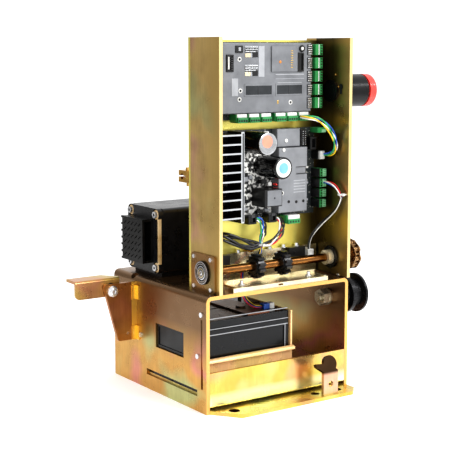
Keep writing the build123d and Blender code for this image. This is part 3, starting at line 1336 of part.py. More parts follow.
def foot_plugs():
    """Row of plugs under the cover of the upper board, in two halves with a gap between them."""
    left = MAIN_COVER_RIGHT - FOOT_PLUG_FROM_RIGHT
    foot = MAIN_COVER_BOTTOM - FOOT_PLUG_HEIGHT - FOOT_PLUG_BELOW_COVER
    plugs = []
    for i in range(FOOT_PLUG_COUNT):
        gap = FOOT_PLUG_GAP if i >= FOOT_PLUG_COUNT / 2 else 0
        plugs.append(plug(left + i * FOOT_PLUG_PITCH + gap, foot, PLUG_LENGTH, FOOT_PLUG_HEIGHT))
    return plugs


def side_plugs():
    """Column of plugs at the right edge of the lower board, and a wide one at its foot."""
    side = POWER_RIGHT - SIDE_PLUG_OVERLAP
    heights = [SIDE_PLUG_UP + i * SIDE_PLUG_PITCH for i in range(SIDE_PLUG_COUNT)]
    heights.append(TOP_SIDE_PLUG_UP)
    plugs = [plug(side, POWER_BOTTOM + up, SIDE_PLUG_LENGTH, FOOT_PLUG_HEIGHT) for up in heights]
    wide_left = POWER_COVER_LEFT + WIDE_PLUG_IN
    plugs.append(plug(wide_left, POWER_BOTTOM - WIDE_PLUG_DROP, WIDE_PLUG_WIDTH, FOOT_PLUG_HEIGHT))
    return plugs


def terminal_plugs():
    """Terminal plugs on the edges of both boards, with the loose connectors of the wires."""
    return group(*right_plugs(), *foot_plugs(), *side_plugs(), *loose_connectors(), *wire_sockets())


def wire_sockets():
    """Two sockets under the lower board."""
    low = POWER_BOTTOM - SOCKET_DROP
    front = BOARD_Y - SOCKET_DEPTH
    sockets = []
    for across in (SOCKET_LEFT_ACROSS, SOCKET_RIGHT_ACROSS):
        x = POWER_LEFT + across
        sockets.append(block((x, front, low), (x + SOCKET_WIDTH, BOARD_Y, low + SOCKET_HEIGHT)))
    return sockets


def loose_connectors():
    """Clip of the wires, plug of the limit switches and plug of the batteries."""
    half = (CLIP_WIDTH / 2, CLIP_DEPTH / 2, CLIP_HEIGHT / 2)
    middle = (CLIP_X, CLIP_Y, CLIP_Z)
    clip = block([m - h for m, h in zip(middle, half)], [m + h for m, h in zip(middle, half)])
    left = SWITCH_RIGHT_X + SWITCH_LENGTH
    low = SWITCH_Z + SWITCH_PLUG_UP
    switch_plug = block((left, SWITCH_BACK - SWITCH_PLUG_DEPTH, low),
                        (left + SWITCH_PLUG_WIDTH, SWITCH_BACK, low + SWITCH_PLUG_HEIGHT))
    right = BATTERY_RIGHT - BATTERY_PLUG_FROM_RIGHT
    front = BATTERY_FRONT + BATTERY_PLUG_BACK - BATTERY_PLUG_DEPTH / 2
    battery_plug = block((right - BATTERY_PLUG_WIDTH, front, BATTERY_TOP),
                         (right, front + BATTERY_PLUG_DEPTH, BATTERY_TOP + BATTERY_PLUG_HEIGHT))
    return [clip, switch_plug, battery_plug]


def power_cover():
    """Grey cover over the right part of the lower board: a deep half and a shallow half above it."""
    front = BOARD_Y - POWER_COVER_DEPTH
    step = POWER_TOP - POWER_COVER_STEP_HEIGHT
    cover = block((POWER_COVER_LEFT, front, POWER_BOTTOM + POWER_COVER_UP),
                  (POWER_COVER_RIGHT, BOARD_Y, step - POWER_COVER_STEP_GAP))
    cover = fillet(cover.edges().group_by(Axis.Y)[0], COVER_ROUND)
    groove = POWER_BOTTOM + GROOVE_UP
    cover -= block((POWER_COVER_RIGHT - GROOVE_LENGTH, front - PAST, groove),
                   (POWER_COVER_RIGHT + PAST, front + GROOVE_DEPTH, groove + GROOVE_HEIGHT))
    upper = block((POWER_COVER_LEFT, front + POWER_COVER_STEP, step),
                  (POWER_COVER_RIGHT - POWER_COVER_STEP_SHORT, BOARD_Y, POWER_TOP))
    return group(cover, fillet(upper.edges().group_by(Axis.Y)[0], COVER_ROUND))


def heat_sink():
    """Finned sink at the left of the lower board."""
    left = POWER_LEFT - SINK_PAST_LEFT
    right = left + SINK_WIDTH
    plate = right - SINK_PLATE
    front = BOARD_Y - SINK_DEPTH
    sink = block((plate, front, POWER_BOTTOM), (right, BOARD_Y, POWER_TOP))
    for i in range(FIN_COUNT):
        top = POWER_TOP - FIN_FROM_TOP - i * FIN_PITCH
        sink += block((left, front, top - FIN_SHEET), (plate, BOARD_Y, top))
    return sink


def capacitors():
    """Two large cans that stand off the lower board, each with a crimp near its end."""
    front = BOARD_Y - CAP_LENGTH
    crimp = front + CAP_CRIMP_FROM_END
    crimp_end = crimp + CAP_CRIMP_WIDTH
    cans = []
    for x, z in CAP_PLACES:
        can = bar_y(x, z, CAP_RADIUS, front, BOARD_Y)
        can = fillet(can.edges().group_by(Axis.Y)[0], CAP_ROUND)
        waist = bar_y(x, z, CAP_RADIUS - CAP_CRIMP_DEPTH, crimp - PAST, crimp_end + PAST)
        can -= bar_y(x, z, CAP_RADIUS + PAST, crimp, crimp_end) - waist
        cans.append(can)
    return group(*cans)


def relay():
    """Relay on the lower board, beside the cover."""
    right = POWER_COVER_LEFT - RELAY_GAP
    low = POWER_BOTTOM + RELAY_UP
    case = block((right - RELAY_SIZE, BOARD_Y - RELAY_SIZE, low), (right, BOARD_Y, low + RELAY_HEIGHT))
    return fillet(case.edges().group_by(Axis.Y)[0], RELAY_ROUND)


def standoffs():
    """Posts between the back panel and the boards."""
    posts = []
    start = BOARD_Y + BOARD_THICKNESS
    boards = ((MAIN_LEFT, MAIN_RIGHT, MAIN_BOTTOM, MAIN_TOP),
              (POWER_LEFT, POWER_RIGHT, POWER_BOTTOM, POWER_TOP))
    for left, right, low, high in boards:
        for x in (left + STANDOFF_INSET, right - STANDOFF_INSET):
            for z in (low + STANDOFF_INSET, high - STANDOFF_INSET):
                posts.append(bar_y(x, z, STANDOFF_RADIUS, start, BACK_INNER_Y))
    return group(*posts)


def ground_clamp():
    """Two jaws and a clamp screw on the back of the channel."""
    right = CLAMP_X + CLAMP_SIZE
    half = CLAMP_SIZE / 2
    slit = CLAMP_SLIT / 2
    body = block((CLAMP_X, BOX_DEPTH, CLAMP_Z - half), (right, BOX_DEPTH + CLAMP_REACH, CLAMP_Z + half))
    body -= block((CLAMP_X - PAST, BOX_DEPTH + CLAMP_WEB, CLAMP_Z - slit),
                  (right + PAST, BOX_DEPTH + CLAMP_REACH + PAST, CLAMP_Z + slit))
    body -= bar_x(BOX_DEPTH + CLAMP_BORE_OUT, CLAMP_Z, CLAMP_BORE_RADIUS, CLAMP_X - PAST, right + PAST)
    return group(body, *clamp_screw())


def clamp_screw():
    """Screw through the jaws of the clamp, seen above and below them."""
    x = CLAMP_X + CLAMP_SIZE / 2
    y = BOX_DEPTH + CLAMP_SCREW_OUT
    top = CLAMP_Z + CLAMP_SIZE / 2
    foot = CLAMP_Z - CLAMP_SIZE / 2
    head = bar_z(x, y, CLAMP_SCREW_HEAD_RADIUS, top, top + CLAMP_SCREW_HEAD)
    tail = bar_z(x, y, CLAMP_SCREW_TAIL_RADIUS, foot - CLAMP_SCREW_TAIL, foot)
    return [head, tail]


def wall_screws():
    """Screw heads on the left wall."""
    places = [(TOP_SCREW_BACK, CHASSIS_TOP - TOP_SCREW_DOWN), (WINDOW_SCREW_BACK, WINDOW_SCREW_UP)]
    places.append((BASE_DEPTH - REAR_SCREW_IN, REAR_SCREW_UP))
    return [bar_x(y, z, SCREW_HEAD_RADIUS, -SCREW_HEAD_HEIGHT, 0) for y, z in places]


def bearing_screws():
    """Screw heads on the two bearing plates."""
    heads = []
    half = BEARING_SCREW_SPREAD / 2
    left = BOX_LEFT - BEARING_PLATE_SHEET - SCREW_HEAD_HEIGHT
    right = BOX_RIGHT + BEARING_PLATE_SHEET
    for start in (left, right):
        end = start + SCREW_HEAD_HEIGHT
        for y in (LIMIT_Y - half, LIMIT_Y + half):
            for z in (LIMIT_Z - half, LIMIT_Z + half):
                heads.append(bar_x(y, z, BEARING_SCREW_RADIUS, start, end))
    return heads


def tray_bolt():
    """Round headed bolt in the right wall of the battery tray."""
    x = BATTERY_RIGHT + BATTERY_GAP + TRAY_SHEET
    y = BATTERY_FRONT + TRAY_BOLT_FROM_FRONT
    z = BATTERY_TOP - TRAY_BOLT_BELOW_TOP
    return bar_x(y, z, TRAY_BOLT_RADIUS, x, x + TRAY_BOLT_HEAD)


def screws():
    """Every small screw head on the outside."""
    return group(*motor_screws(), *wall_screws(), *bearing_screws(), tray_bolt())


def bend_radii(points):
    """Largest even bend at each point of a route."""
    radii = []
    for before, corner, after in zip(points, points[1:], points[2:]):
        arrive = Vector(*corner) - Vector(*before)
        leave = Vector(*after) - Vector(*corner)
        half_turn = math.radians(arrive.get_angle(leave)) / 2
        radii.append(BEND_SHARE * min(arrive.length, leave.length) / math.tan(half_turn))
    return radii


def bundle(points):
    """Round tube along a route of straight runs joined by arcs."""
    radii = bend_radii(points)
    print("bends", [round(r, 1) for r in radii])
    path = FilletPolyline(*points, radius=radii)
    section = Plane(origin=path @ 0, z_dir=path % 0) * Circle(BUNDLE_RADIUS)
    return sweep(section, path)


def wires_upper():
    """From the fifth plug under the upper board, round in front, to the top plug of the lower board."""
    front = BOARD_Y - PLUG_DEPTH
    route = [(184, front, 382), (184, 31, 382), (204, 25, 379), (219, 21, 366)]
    route += [(228, 20, 351), (229, 18, 337), (226, 28, 328), (226, front, 328)]
    return bundle(route)


def wires_side():
    """From a side plug of the lower board, round in front, down to the plug of the limit switches."""
    front = BOARD_Y - PLUG_DEPTH
    plug_top = SWITCH_Z + SWITCH_PLUG_UP + SWITCH_PLUG_HEIGHT
    route = [(226, front, 289), (226, 27, 289), (230.5, 14, 281.5), (230.5, 7.5, 270)]
    route += [(230, 13, 256.5), (228, 28, 243), (223, 41, 231), (214, 46.5, 219)]
    route += [(210, 54, 206), (210, 54, plug_top)]
    return bundle(route)


def wires_centre():
    """From the two sockets under the lower board to the clip."""
    first_start = POWER_LEFT + SOCKET_LEFT_ACROSS + SOCKET_WIDTH
    second_start = POWER_LEFT + SOCKET_RIGHT_ACROSS + SOCKET_WIDTH
    first = [(first_start, 50, 244), (120, 50, 244), (126, 48, 235), (126, 47, 223)]
    first += [(CLIP_X, CLIP_Y, 219), (CLIP_X, CLIP_Y, CLIP_Z + CLIP_HEIGHT / 2)]
    second = [(second_start, 50, 242), (155, 50, 242), (159, 48.5, 232), (154, 46, 220)]
    second += [(142, 46, 211), (134, CLIP_Y, CLIP_Z), (CLIP_X + CLIP_WIDTH / 2, CLIP_Y, CLIP_Z)]
    return group(bundle(first), bundle(second))


def wires_battery():
    """From the clip, behind the shaft and through the grommet, to the plug of the batteries."""
    plug_y = BATTERY_FRONT + BATTERY_PLUG_BACK
    plug_z = BATTERY_TOP + BATTERY_PLUG_HEIGHT / 2
    plug_left = BATTERY_RIGHT - BATTERY_PLUG_FROM_RIGHT - BATTERY_PLUG_WIDTH
    route = [(CLIP_X, CLIP_Y, CLIP_Z - CLIP_HEIGHT / 2), (CLIP_X, CLIP_Y, 198), (117, 55, 188)]
    route += [(105, 58, 181), (94, 54, 171), (GROMMET_X, GROMMET_Y, 160)]
    route += [(GROMMET_X, GROMMET_Y, 145), (98, 51, 133), (110, 54, 124)]
    route += [(119, plug_y, plug_z), (plug_left, plug_y, plug_z)]
    return bundle(route)


def motor_cable():
    """From the back panel to the clip."""
    route = [(62, BACK_INNER_Y, 224), (62, 57, 224), (80, 50, 217), (100, 47.5, 209)]
    route += [(108, CLIP_Y, CLIP_Z), (CLIP_X - CLIP_WIDTH / 2, CLIP_Y, CLIP_Z)]
    return bundle(route)


FRONT_IDLER_Y, REAR_IDLER_Y = idler_places()
NODES = {
    "chassis": chassis(),
    "foot_plate": foot_plate(),
    "front_apron": front_apron(),
    "inner_floor": inner_floor(),
    "padlock_hasp": padlock_hasp(),
    "battery_tray": battery_tray(),
    "battery_front": battery(BATTERY_FRONT),
    "battery_rear": battery(BATTERY_FRONT + BATTERY_WIDTH + BATTERY_GAP),
    "battery_strap": battery_strap(),
    "lever_bracket": lever_bracket(),
    "release_lever": release_lever(),
    "lever_pivot_bolt": pivot_bolt(),
    "pivot_washer": pivot_washer(),
    "control_channel": control_channel(),
    "bearing_plates": bearing_plates(),
    "bearing_outer_rings": bearing_outer_rings(),
    "bearing_inner_rings": bearing_inner_rings(),
    "rubber_rings": rubber_rings(),
    "limit_shaft": limit_shaft(),
    "shaft_collars": shaft_collars(),
    "limit_nut_left": limit_nut(NUT_LEFT_X),
    "limit_nut_right": limit_nut(NUT_RIGHT_X),
    "detent_plate": detent_plate(),
    "detent_posts": detent_posts(),
    "detent_springs": detent_springs(),
    "detent_strip": detent_strip(),
    "switch_rail": switch_rail(),
    "limit_switches": limit_switches(),
    "limit_wheel": limit_wheel(),
    "output_limit_wheel": output_limit_wheel(),
    "drive_wheel": drive_wheel(),
    "output_shaft": output_shaft(),
    "limit_chain": limit_chain(),
    "gear_case": gear_case(),
    "motor_body": motor_body(),
    "motor_end_cap": motor_end_cap(),
    "fin_pad": fin_pad(),
    "idler_wheel_front": idler_wheel(FRONT_IDLER_Y),
    "idler_wheel_rear": idler_wheel(REAR_IDLER_Y),
    "idler_bush_front": idler_bush(FRONT_IDLER_Y),
    "idler_bush_rear": idler_bush(REAR_IDLER_Y),
    "idler_bolts": idler_bolts(),
    "reset_barrel": reset_barrel(),
    "reset_button": reset_button(),
    "circuit_boards": circuit_boards(),
    "main_cover": main_cover(),
    "power_cover": power_cover(),
    "terminal_plugs": terminal_plugs(),
    "heat_sink": heat_sink(),
    "capacitors": capacitors(),
    "relay": relay(),
    "standoffs": standoffs(),
    "ground_clamp": ground_clamp(),
    "screws": screws(),
    "wires_upper": wires_upper(),
    "wires_side": wires_side(),
    "wires_centre": wires_centre(),
    "wires_battery": wires_battery(),
    "motor_cable": motor_cable(),
}

os.makedirs("parts", exist_ok=True)
for name, shape in NODES.items():
    export_step(Pos(-BASE_WIDTH / 2, -BASE_DEPTH / 2, 0) * shape, f"parts/{name}.step")
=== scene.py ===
import math

import bpy
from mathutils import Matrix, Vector


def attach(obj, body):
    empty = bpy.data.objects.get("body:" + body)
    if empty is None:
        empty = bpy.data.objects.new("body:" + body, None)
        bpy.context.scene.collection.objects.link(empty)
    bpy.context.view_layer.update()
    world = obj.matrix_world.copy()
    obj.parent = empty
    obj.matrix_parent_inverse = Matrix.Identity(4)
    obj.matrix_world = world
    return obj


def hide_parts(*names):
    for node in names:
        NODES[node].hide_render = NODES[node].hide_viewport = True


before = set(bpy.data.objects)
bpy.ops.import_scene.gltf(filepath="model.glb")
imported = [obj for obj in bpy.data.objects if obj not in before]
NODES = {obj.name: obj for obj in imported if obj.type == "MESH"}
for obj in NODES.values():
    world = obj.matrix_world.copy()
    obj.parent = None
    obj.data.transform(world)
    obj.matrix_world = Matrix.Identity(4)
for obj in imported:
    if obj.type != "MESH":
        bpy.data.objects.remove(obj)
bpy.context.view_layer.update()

MM = 0.001
# Front left bottom corner of the chassis: every place below is in millimetres from it.
CORNER = Vector((-0.119, -0.1225, 0.0))
X = Vector((1, 0, 0))
Y = Vector((0, 1, 0))
Z = Vector((0, 0, 1))

# Faces that the small pieces stand on: fronts along Y, and the top of the switch rail along Z
BOARD_FRONT = 59.4
COVER_FRONT = 45.4
RAISED_FRONT = 43.4
POWER_COVER_FRONT = 43.4
UPPER_COVER_FRONT = 47.4
PLUG_FRONT = 40.4
RELAY_FRONT = 29.4
CAN_FRONT = 11.4
SINK_FRONT = 27.4
RAIL_TOP = 197
# Small round pieces start this far below the face that they stand on.
ROOT = -0.2
# Centre line of the limit shaft along Y and Z, and the outer face of its left bearing along X
SHAFT_LINE = (36, 182)
BEARING_FACE = 15.6
# Step from one plug of the right column, with the contacts beside it, down to the next
UPRIGHT_STEP = -18.3


def place(x, y, z):
    """A point of the frame, in metres, from millimetres measured at the chassis corner."""
    return CORNER + Vector((x, y, z)) * MM


# Colours and shader nodes


def colour(code):
    """An sRGB hex value as the linear colour that a shader takes."""
    parts = [int(code[i:i + 2], 16) / 255 for i in (1, 3, 5)]
    linear = [p / 12.92 if p <= 0.04045 else ((p + 0.055) / 1.055) ** 2.4 for p in parts]
    return (*linear, 1.0)


def feed(tree, node, inputs):
    """Give each of these inputs of a node a plain value or the output of another node."""
    for key, value in inputs.items():
        if isinstance(value, bpy.types.NodeSocket):
            tree.links.new(value, node.inputs[key])
        else:
            node.inputs[key].default_value = value


def add(tree, kind, inputs=None, **settings):
    """Add a node with its settings and its inputs."""
    node = tree.nodes.new("ShaderNode" + kind)
    for key, value in settings.items():
        setattr(node, key, value)
    feed(tree, node, inputs or {})
    return node


def new_material(name):
    """An empty material with its shader, its node tree and its object coordinates."""
    material = bpy.data.materials.new(name)
    material.use_nodes = True
    tree = material.node_tree
    shader = tree.nodes["Principled BSDF"]
    where = add(tree, "TexCoord").outputs["Object"]
    return material, tree, shader, where


def mapped(tree, where, socket, value):
    """The object coordinates turned or stretched."""
    return add(tree, "Mapping", {"Vector": where, socket: value}).outputs[0]


def noise(tree, where, size_mm, detail=3.0, stretch=None):
    """Cloudy pattern whose patches are about that many millimetres across."""
    if stretch:
        where = mapped(tree, where, "Scale", stretch)
    inputs = {"Vector": where, "Scale": 1 / (size_mm * MM), "Detail": detail}
    return add(tree, "TexNoise", inputs).outputs["Fac"]


def ramp(tree, source, stops):
    """Colours along a 0 to 1 value."""
    node = add(tree, "ValToRGB", {"Fac": source})
    elements = node.color_ramp.elements
    while len(elements) < len(stops):
        elements.new(0.5)
    for element, (at, code) in zip(elements, stops):
        element.position = at
        element.color = colour(code)
    return node.outputs["Color"]


def ranged(tree, source, start, end, low=0.0, high=1.0):
    """A value that runs from low to high while its source runs from start to end."""
    inputs = {"Value": source, "From Min": start, "From Max": end, "To Min": low, "To Max": high}
    return add(tree, "MapRange", inputs).outputs["Result"]


def spread(tree, source, low, high):
    """A 0.3 to 0.7 pattern spread between two values."""
    return ranged(tree, source, 0.3, 0.7, low, high)


def mixed(tree, how, factor, first, second):
    """Two colours blended in a mode, by a number or by a pattern."""
    # Several inputs of this node share a name, so its factor and colours go by number.
    inputs = {0: factor, 6: first, 7: second}
    return add(tree, "Mix", inputs, data_type="RGBA", blend_type=how).outputs[2]


def dimmed(tree, tint, strength, source, shade, low, high):
    """A tint multiplied by a shade where a pattern is low, and left alone where it is high."""
    veil = ramp(tree, source, [(low, shade), (high, "#FFFFFF")])
    return mixed(tree, "MULTIPLY", strength, tint, veil)


def bumped(tree, shader, height, strength, depth_mm):
    """Feed a height pattern to the shader as bumps of that depth."""
    inputs = {"Height": height, "Strength": strength, "Distance": depth_mm * MM}
    feed(tree, shader, {"Normal": add(tree, "Bump", inputs).outputs["Normal"]})


def reach(tree, where, axis, near_mm, far_mm):
    """0 to 1 from one plane across an axis to another, in millimetres from the chassis corner."""
    along = add(tree, "SeparateXYZ", {"Vector": where}).outputs[axis]
    start = CORNER["XYZ".index(axis)]
    return ranged(tree, along, start + near_mm * MM, start + far_mm * MM)


def tinted(tree, where, tint, zone, code):
    """Another tint where a zone, given as axis, near and far plane, is reached."""
    return mixed(tree, "MIX", reach(tree, where, *zone), tint, colour(code))


# Finishes


def yellow_zinc(name, gold, pink, green, zones=(), rough=(0.24, 0.36), metallic=0.92):
    """Rolled steel sheet, zinc plated and passivated yellow in a dip."""
    # The thin passivation film splits light, so the gold drifts into pink and green in patches
    # as wide as a hand, and the rolled grain shows as faint upright streaks under it.
    material, tree, shader, where = new_material(name)
    drift = noise(tree, where, 85, 1.5)
    film = [(0.34, green), (0.45, gold), (0.53, gold), (0.62, pink), (0.72, gold)]
    grain = noise(tree, where, 2.0, 3.0, stretch=(1, 1, 0.06))
    coat = dimmed(tree, ramp(tree, drift, film), 0.22, grain, "#B4B4B4", 0.3, 0.7)
    smears = noise(tree, where, 30, 4.0)
    coat = dimmed(tree, coat, 0.3, smears, "#A79A8A", 0.32, 0.62)
    for zone, code in zones:
        coat = tinted(tree, where, coat, zone, code)
    rough = spread(tree, smears, *rough)
    feed(tree, shader, {"Base Color": coat, "Roughness": rough, "Metallic": metallic})
    bumped(tree, shader, noise(tree, where, 3.0, 1.0), 0.05, 0.05)
    return material


def metal(name, base, shade, rough, grain_mm, stretch=None, metallic=1.0, bump=0.15, front=None):
    """A bare or plated metal whose grain and stains have the given size."""
    # A front, given as a plane along Y and a colour, takes that colour ahead of the plane.
    material, tree, shader, where = new_material(name)
    grain = noise(tree, where, grain_mm, 4.0, stretch)
    stains = noise(tree, where, 14, 3.0)
    tint = ramp(tree, grain, [(0.32, shade), (0.64, base)])
    tint = dimmed(tree, tint, 0.35, stains, "#A8A29A", 0.3, 0.62)
    if front:
        plane, code = front
        tint = tinted(tree, where, tint, ("Y", plane + 0.1, plane), code)
    rough = spread(tree, stains, *rough)
    feed(tree, shader, {"Base Color": tint, "Roughness": rough, "Metallic": metallic})
    bumped(tree, shader, grain, bump, 0.06)
    return material


def moulded(name, base, shade, rough=(0.3, 0.42), grain_mm=0.8, bump=0.2, gleam=0.5):
    """Plastic or rubber from a mould with an eroded, slightly grained face."""
    material, tree, shader, where = new_material(name)
    dust = noise(tree, where, 17, 4.0)
    tint = ramp(tree, dust, [(0.3, shade), (0.68, base)])
    rough = spread(tree, dust, *rough)
    feed(tree, shader, {"Base Color": tint, "Roughness": rough, "Specular IOR Level": gleam})
    bumped(tree, shader, noise(tree, where, grain_mm, 2.0), bump, 0.05)
    return material


def solder_mask(name):
    """Glass epoxy board under a cured black solder mask, with copper tracks that show through."""
    # Tracks lie under the lacquer as a slightly lighter shade, about 1 mm wide and square to the
    # board, and tinned pads come through it as small pale spots.
    material, tree, shader, where = new_material(name)
    upright = mapped(tree, where, "Rotation", (math.pi / 2, 0, 0))
    inputs = {"Vector": upright, "Scale": 1 / (7 * MM), "Mortar Size": 0.09, "Mortar Smooth": 0.1}
    tracks = add(tree, "TexBrick", inputs, offset=0.5, squash=0.6).outputs["Fac"]
    tint = ramp(tree, tracks, [(0.1, "#15181A"), (0.9, "#2B3133")])
    pads = ramp(tree, noise(tree, where, 3.2, 1.0), [(0.64, "#000000"), (0.67, "#B0B0B0")])
    tint = mixed(tree, "MIX", pads, tint, colour("#C9C7BC"))
    feed(tree, shader, {"Base Color": tint, "Roughness": 0.34})
    bumped(tree, shader, tracks, 0.2, 0.05)
    return material


def crowded_board(name):
    """Lower board where its parts stand too close to tell apart: white, grey, black by turns."""
    # Surface-mounted parts are 1 to 3 mm long, with bright solder ends and dark gaps between.
    material, tree, shader, where = new_material(name)
    parts = noise(tree, where, 5.0, 2.5)
    crowd = [(0.43, "#0E0F10"), (0.47, "#6E6E6C"), (0.51, "#151617"), (0.545, "#ECEBE6")]
    feed(tree, shader, {"Base Color": ramp(tree, parts, crowd), "Roughness": 0.4})
    bumped(tree, shader, parts, 0.5, 0.4)
    return material


def wire_skin(name, base, shade):
    """Extruded PVC insulation: glossy, with a faint wave along its length."""
    material, tree, shader, where = new_material(name)
    tint = ramp(tree, noise(tree, where, 9, 2.0), [(0.35, shade), (0.65, base)])
    feed(tree, shader, {"Base Color": tint, "Roughness": 0.3})
    bumped(tree, shader, noise(tree, where, 1.6, 1.0), 0.1, 0.05)
    return material


# Painted highlight: the front edge of a sheet, which faces the light, is painted brighter than its
# faces.
FRONT_EDGE_HIGHLIGHT = ("Y", 0.7, 0.6)
# Painted shade: the base is painted browner above, where it sees the dark, and stays brighter near
# the floor.
SHEET = yellow_zinc("yellow_zinc_sheet", "#D6A65C", "#DC9480", "#C6C68A",
                    [(("Z", 54, 112), "#7C6044"), (FRONT_EDGE_HIGHLIGHT, "#E2B46C")])
# Painted light in the channel: the back is painted yellow as a reflection, and the right corner is
# painted dull brown as shade that lightens towards the open front; the front edge has the painted
# highlight.
PANEL = yellow_zinc("yellow_zinc_panel", "#D0B274", "#D0A684", "#BCB680", [
    (("Y", 68, 69), "#E8DC78"), (("X", 196, 228), "#5C5030"), (("Y", 36, 4), "#C0A262"),
    (("X", 237, 237.5), "#D0B274"), (("Y", 73.4, 73.6), "#D0B274"), (FRONT_EDGE_HIGHLIGHT, "#ECD49A"),
], rough=(0.26, 0.38))
# The apron and the foot lie near the white floor; the apron is painted paler towards it, as a
# painted reflection of the floor.
APRON = yellow_zinc("yellow_zinc_apron", "#E8CA68", "#ECBC84", "#CEDC98",
                    [(("Z", 28, 14), "#F4F6D2")], rough=(0.18, 0.3))
FOOT = yellow_zinc("yellow_zinc_foot", "#E2C462", "#DEB478", "#D2CC7E", rough=(0.22, 0.34))
# Painted light: the rolled tray is a pale, cloudy, less metallic copy of the zinc, for the light
# that its rounded front catches.
TRAY = yellow_zinc("yellow_zinc_rolled_tray", "#FBDA92", "#FACA96", "#F2DC94",
                   rough=(0.2, 0.32), metallic=0.25)
LEVER = yellow_zinc("yellow_zinc_lever", "#D0AE68", "#D09A74", "#BCB470")
# Brown bracket with two bright tabs bent off it.
BRACKET = yellow_zinc("yellow_zinc_bracket", "#B4804A", "#B87C56", "#A68E52",
                      [(("X", -8.4, -8), "#F4CC66")])
# Browned by oil round the bearings.
BEARING_PLATE = yellow_zinc("yellow_zinc_bearing_plate", "#A07C50", "#A07458", "#948252")
# Painted light: thin strips are a pale copy of the zinc, for the light that their faces to the
# front catch.
PALE = yellow_zinc("yellow_zinc_thin", "#FBF1CC", "#FAE2C0", "#F2EEC8", rough=(0.18, 0.3))
# Painted shade: a dark copy of the zinc for sheets inside the base, which see only the dark.
SHADED_ZINC = yellow_zinc("yellow_zinc_inside", "#6A4230", "#6E3A30", "#584432")
# Painted shade: the lobe bent back, which sees only the dark, is painted dark brown above a pinkish
# leg.
HASP = yellow_zinc("yellow_zinc_hasp", "#E2B698", "#E4AA98", "#D4BC8E",
                   [(("Z", 33, 37), "#3C2A1A")])
# Clear zinc on small turned and stamped pieces: bright, bluish, a little cloudy.
BRIGHT = metal("clear_zinc_plate", "#F2F3F6", "#C6C8CC", (0.16, 0.3), 1.2, metallic=0.8)
# Forged bolts and nuts of the idlers, zinc plated over a rough skin that dulls it.
DULL_BOLT = metal("dull_zinc_bolt", "#D6D0BE", "#B0A78F", (0.24, 0.36), 2.4, metallic=0.85)
# Collars of the limit shaft, zinc plated and straw coloured.
COLLAR = metal("straw_zinc_collar", "#F2E6C8", "#CDBE98", (0.2, 0.34), 1.0, metallic=0.6)
# Drawn bar with a warm film of old oil: grain runs along it.
SHAFT = metal("drawn_bar_oiled", "#8C6238", "#7A5430", (0.12, 0.18), 2.0, (0.02, 1, 1), bump=0.02)
# Stamped links and hobbed teeth, browned by oil.
OILED = metal("oiled_chain_steel", "#BA9468", "#4C3624", (0.2, 0.34), 2.2)
# Ball bearing rings, ground and then darkened by grease.
GREASED = metal("greased_bearing_steel", "#4A4A4E", "#1E1E20", (0.18, 0.3), 1.0)
# Turned wheels under a black oxide skin.
WHEEL = metal("black_oxide_turned_steel", "#3A3A3C", "#161617", (0.22, 0.34), 0.8, (0.06, 1, 1),
              metallic=0.85)
# Sintered bronze, turned.
BRONZE = metal("sintered_bronze", "#C08A4E", "#8A5E30", (0.3, 0.45), 0.6)
# Die cast aluminium, tumbled: pale, with a coarse skin.
CAST = metal("die_cast_aluminium", "#9EA0A2", "#77797C", (0.42, 0.6), 1.4, metallic=0.9, bump=0.4)
# Aluminium extrusion, drawn through its die: its fins are painted near black as the shade between
# them, and keep their grey silver in front.
SINK = metal("aluminium_fins_painted_shade", "#2A2B2E", "#141416", (0.3, 0.44), 1.0, (0.06, 1, 1),
             metallic=0.8, front=(SINK_FRONT + 0.4, "#C2C5C8"))
# Cast brass, tumbled with stones; springs and pins out of a tin bath; pins flashed with gold.
BRASS = metal("tumbled_brass", "#E3B765", "#B98A3C", (0.2, 0.34), 1.0)
TIN = metal("tinned_leads", "#DFE1E3", "#9FA2A6", (0.2, 0.34), 0.8)
GOLD_PIN = metal("gold_flash_pins", "#F2CF7A", "#C79A45", (0.18, 0.3), 0.8)
# End of a capacitor can, spun from aluminium.
CAN_END = metal("spun_aluminium_can", "#B4B6B8", "#8F9194", (0.3, 0.42), 0.7, metallic=0.7)
# Oven cured enamel on the motor: black, satin, slight orange peel.
ENAMEL = moulded("black_oven_enamel", "#17171A", "#0B0B0C", (0.24, 0.36), 2.2)
# Black mouldings: dull nylon, glossy shrunk sleeve, satin polyamide, waxy acetal, polished ABS
NYLON = moulded("black_nylon", "#111112", "#080809", (0.3, 0.46), 0.7, gleam=0.4)
SLEEVE = moulded("black_shrink_sleeve", "#0C0C0D", "#060607", (0.1, 0.16), 6.0, bump=0.02)
BARREL = moulded("black_satin_polyamide", "#0B0B0C", "#060606", (0.26, 0.34), 1.0, 0.1, 0.3)
ACETAL = moulded("black_acetal_nut", "#1A1A1C", "#0A0A0B", (0.16, 0.28), 0.9)
ABS_CASE = moulded("charcoal_abs_case", "#121316", "#0A0B0C", (0.18, 0.3), 1.1, gleam=0.3)
# Cured rubber with a dusty bloom.
RUBBER = moulded("black_rubber", "#141414", "#0C0C0C", (0.55, 0.75), 1.3, bump=0.3)
# Covers of the electronics, their faces eroded matt in the mould.
GREY = moulded("grey_abs_cover", "#737579", "#636569", (0.4, 0.52), 0.9)
POWER_GREY = moulded("grey_abs_power_cover", "#818387", "#717377", (0.4, 0.52), 0.9)
SILVER_GREY = moulded("pale_grey_abs", "#9EA0A4", "#8E9094", (0.38, 0.5), 0.9)
DARK_GREY = moulded("dark_grey_abs", "#3A3B3E", "#2A2B2D", (0.34, 0.48), 0.9)
# Terminal plugs and connectors, dyed through and through.
GREEN = moulded("green_polyamide", "#2F8B4C", "#21703A")
PALE_GREEN = moulded("pale_green_polyamide", "#8CC49A", "#6EAA80")
WHITE = moulded("white_polyamide", "#D8D8D6", "#C2C2BE")
BLUE = moulded("blue_polyamide", "#2E5FB8", "#214790")
# Ink printed on the sleeves of the cans.
SKY = moulded("sky_blue_print", "#78B0D8", "#5E9CCC", (0.4, 0.5))
SALMON = moulded("salmon_print", "#DC9078", "#CE806A", (0.4, 0.5))
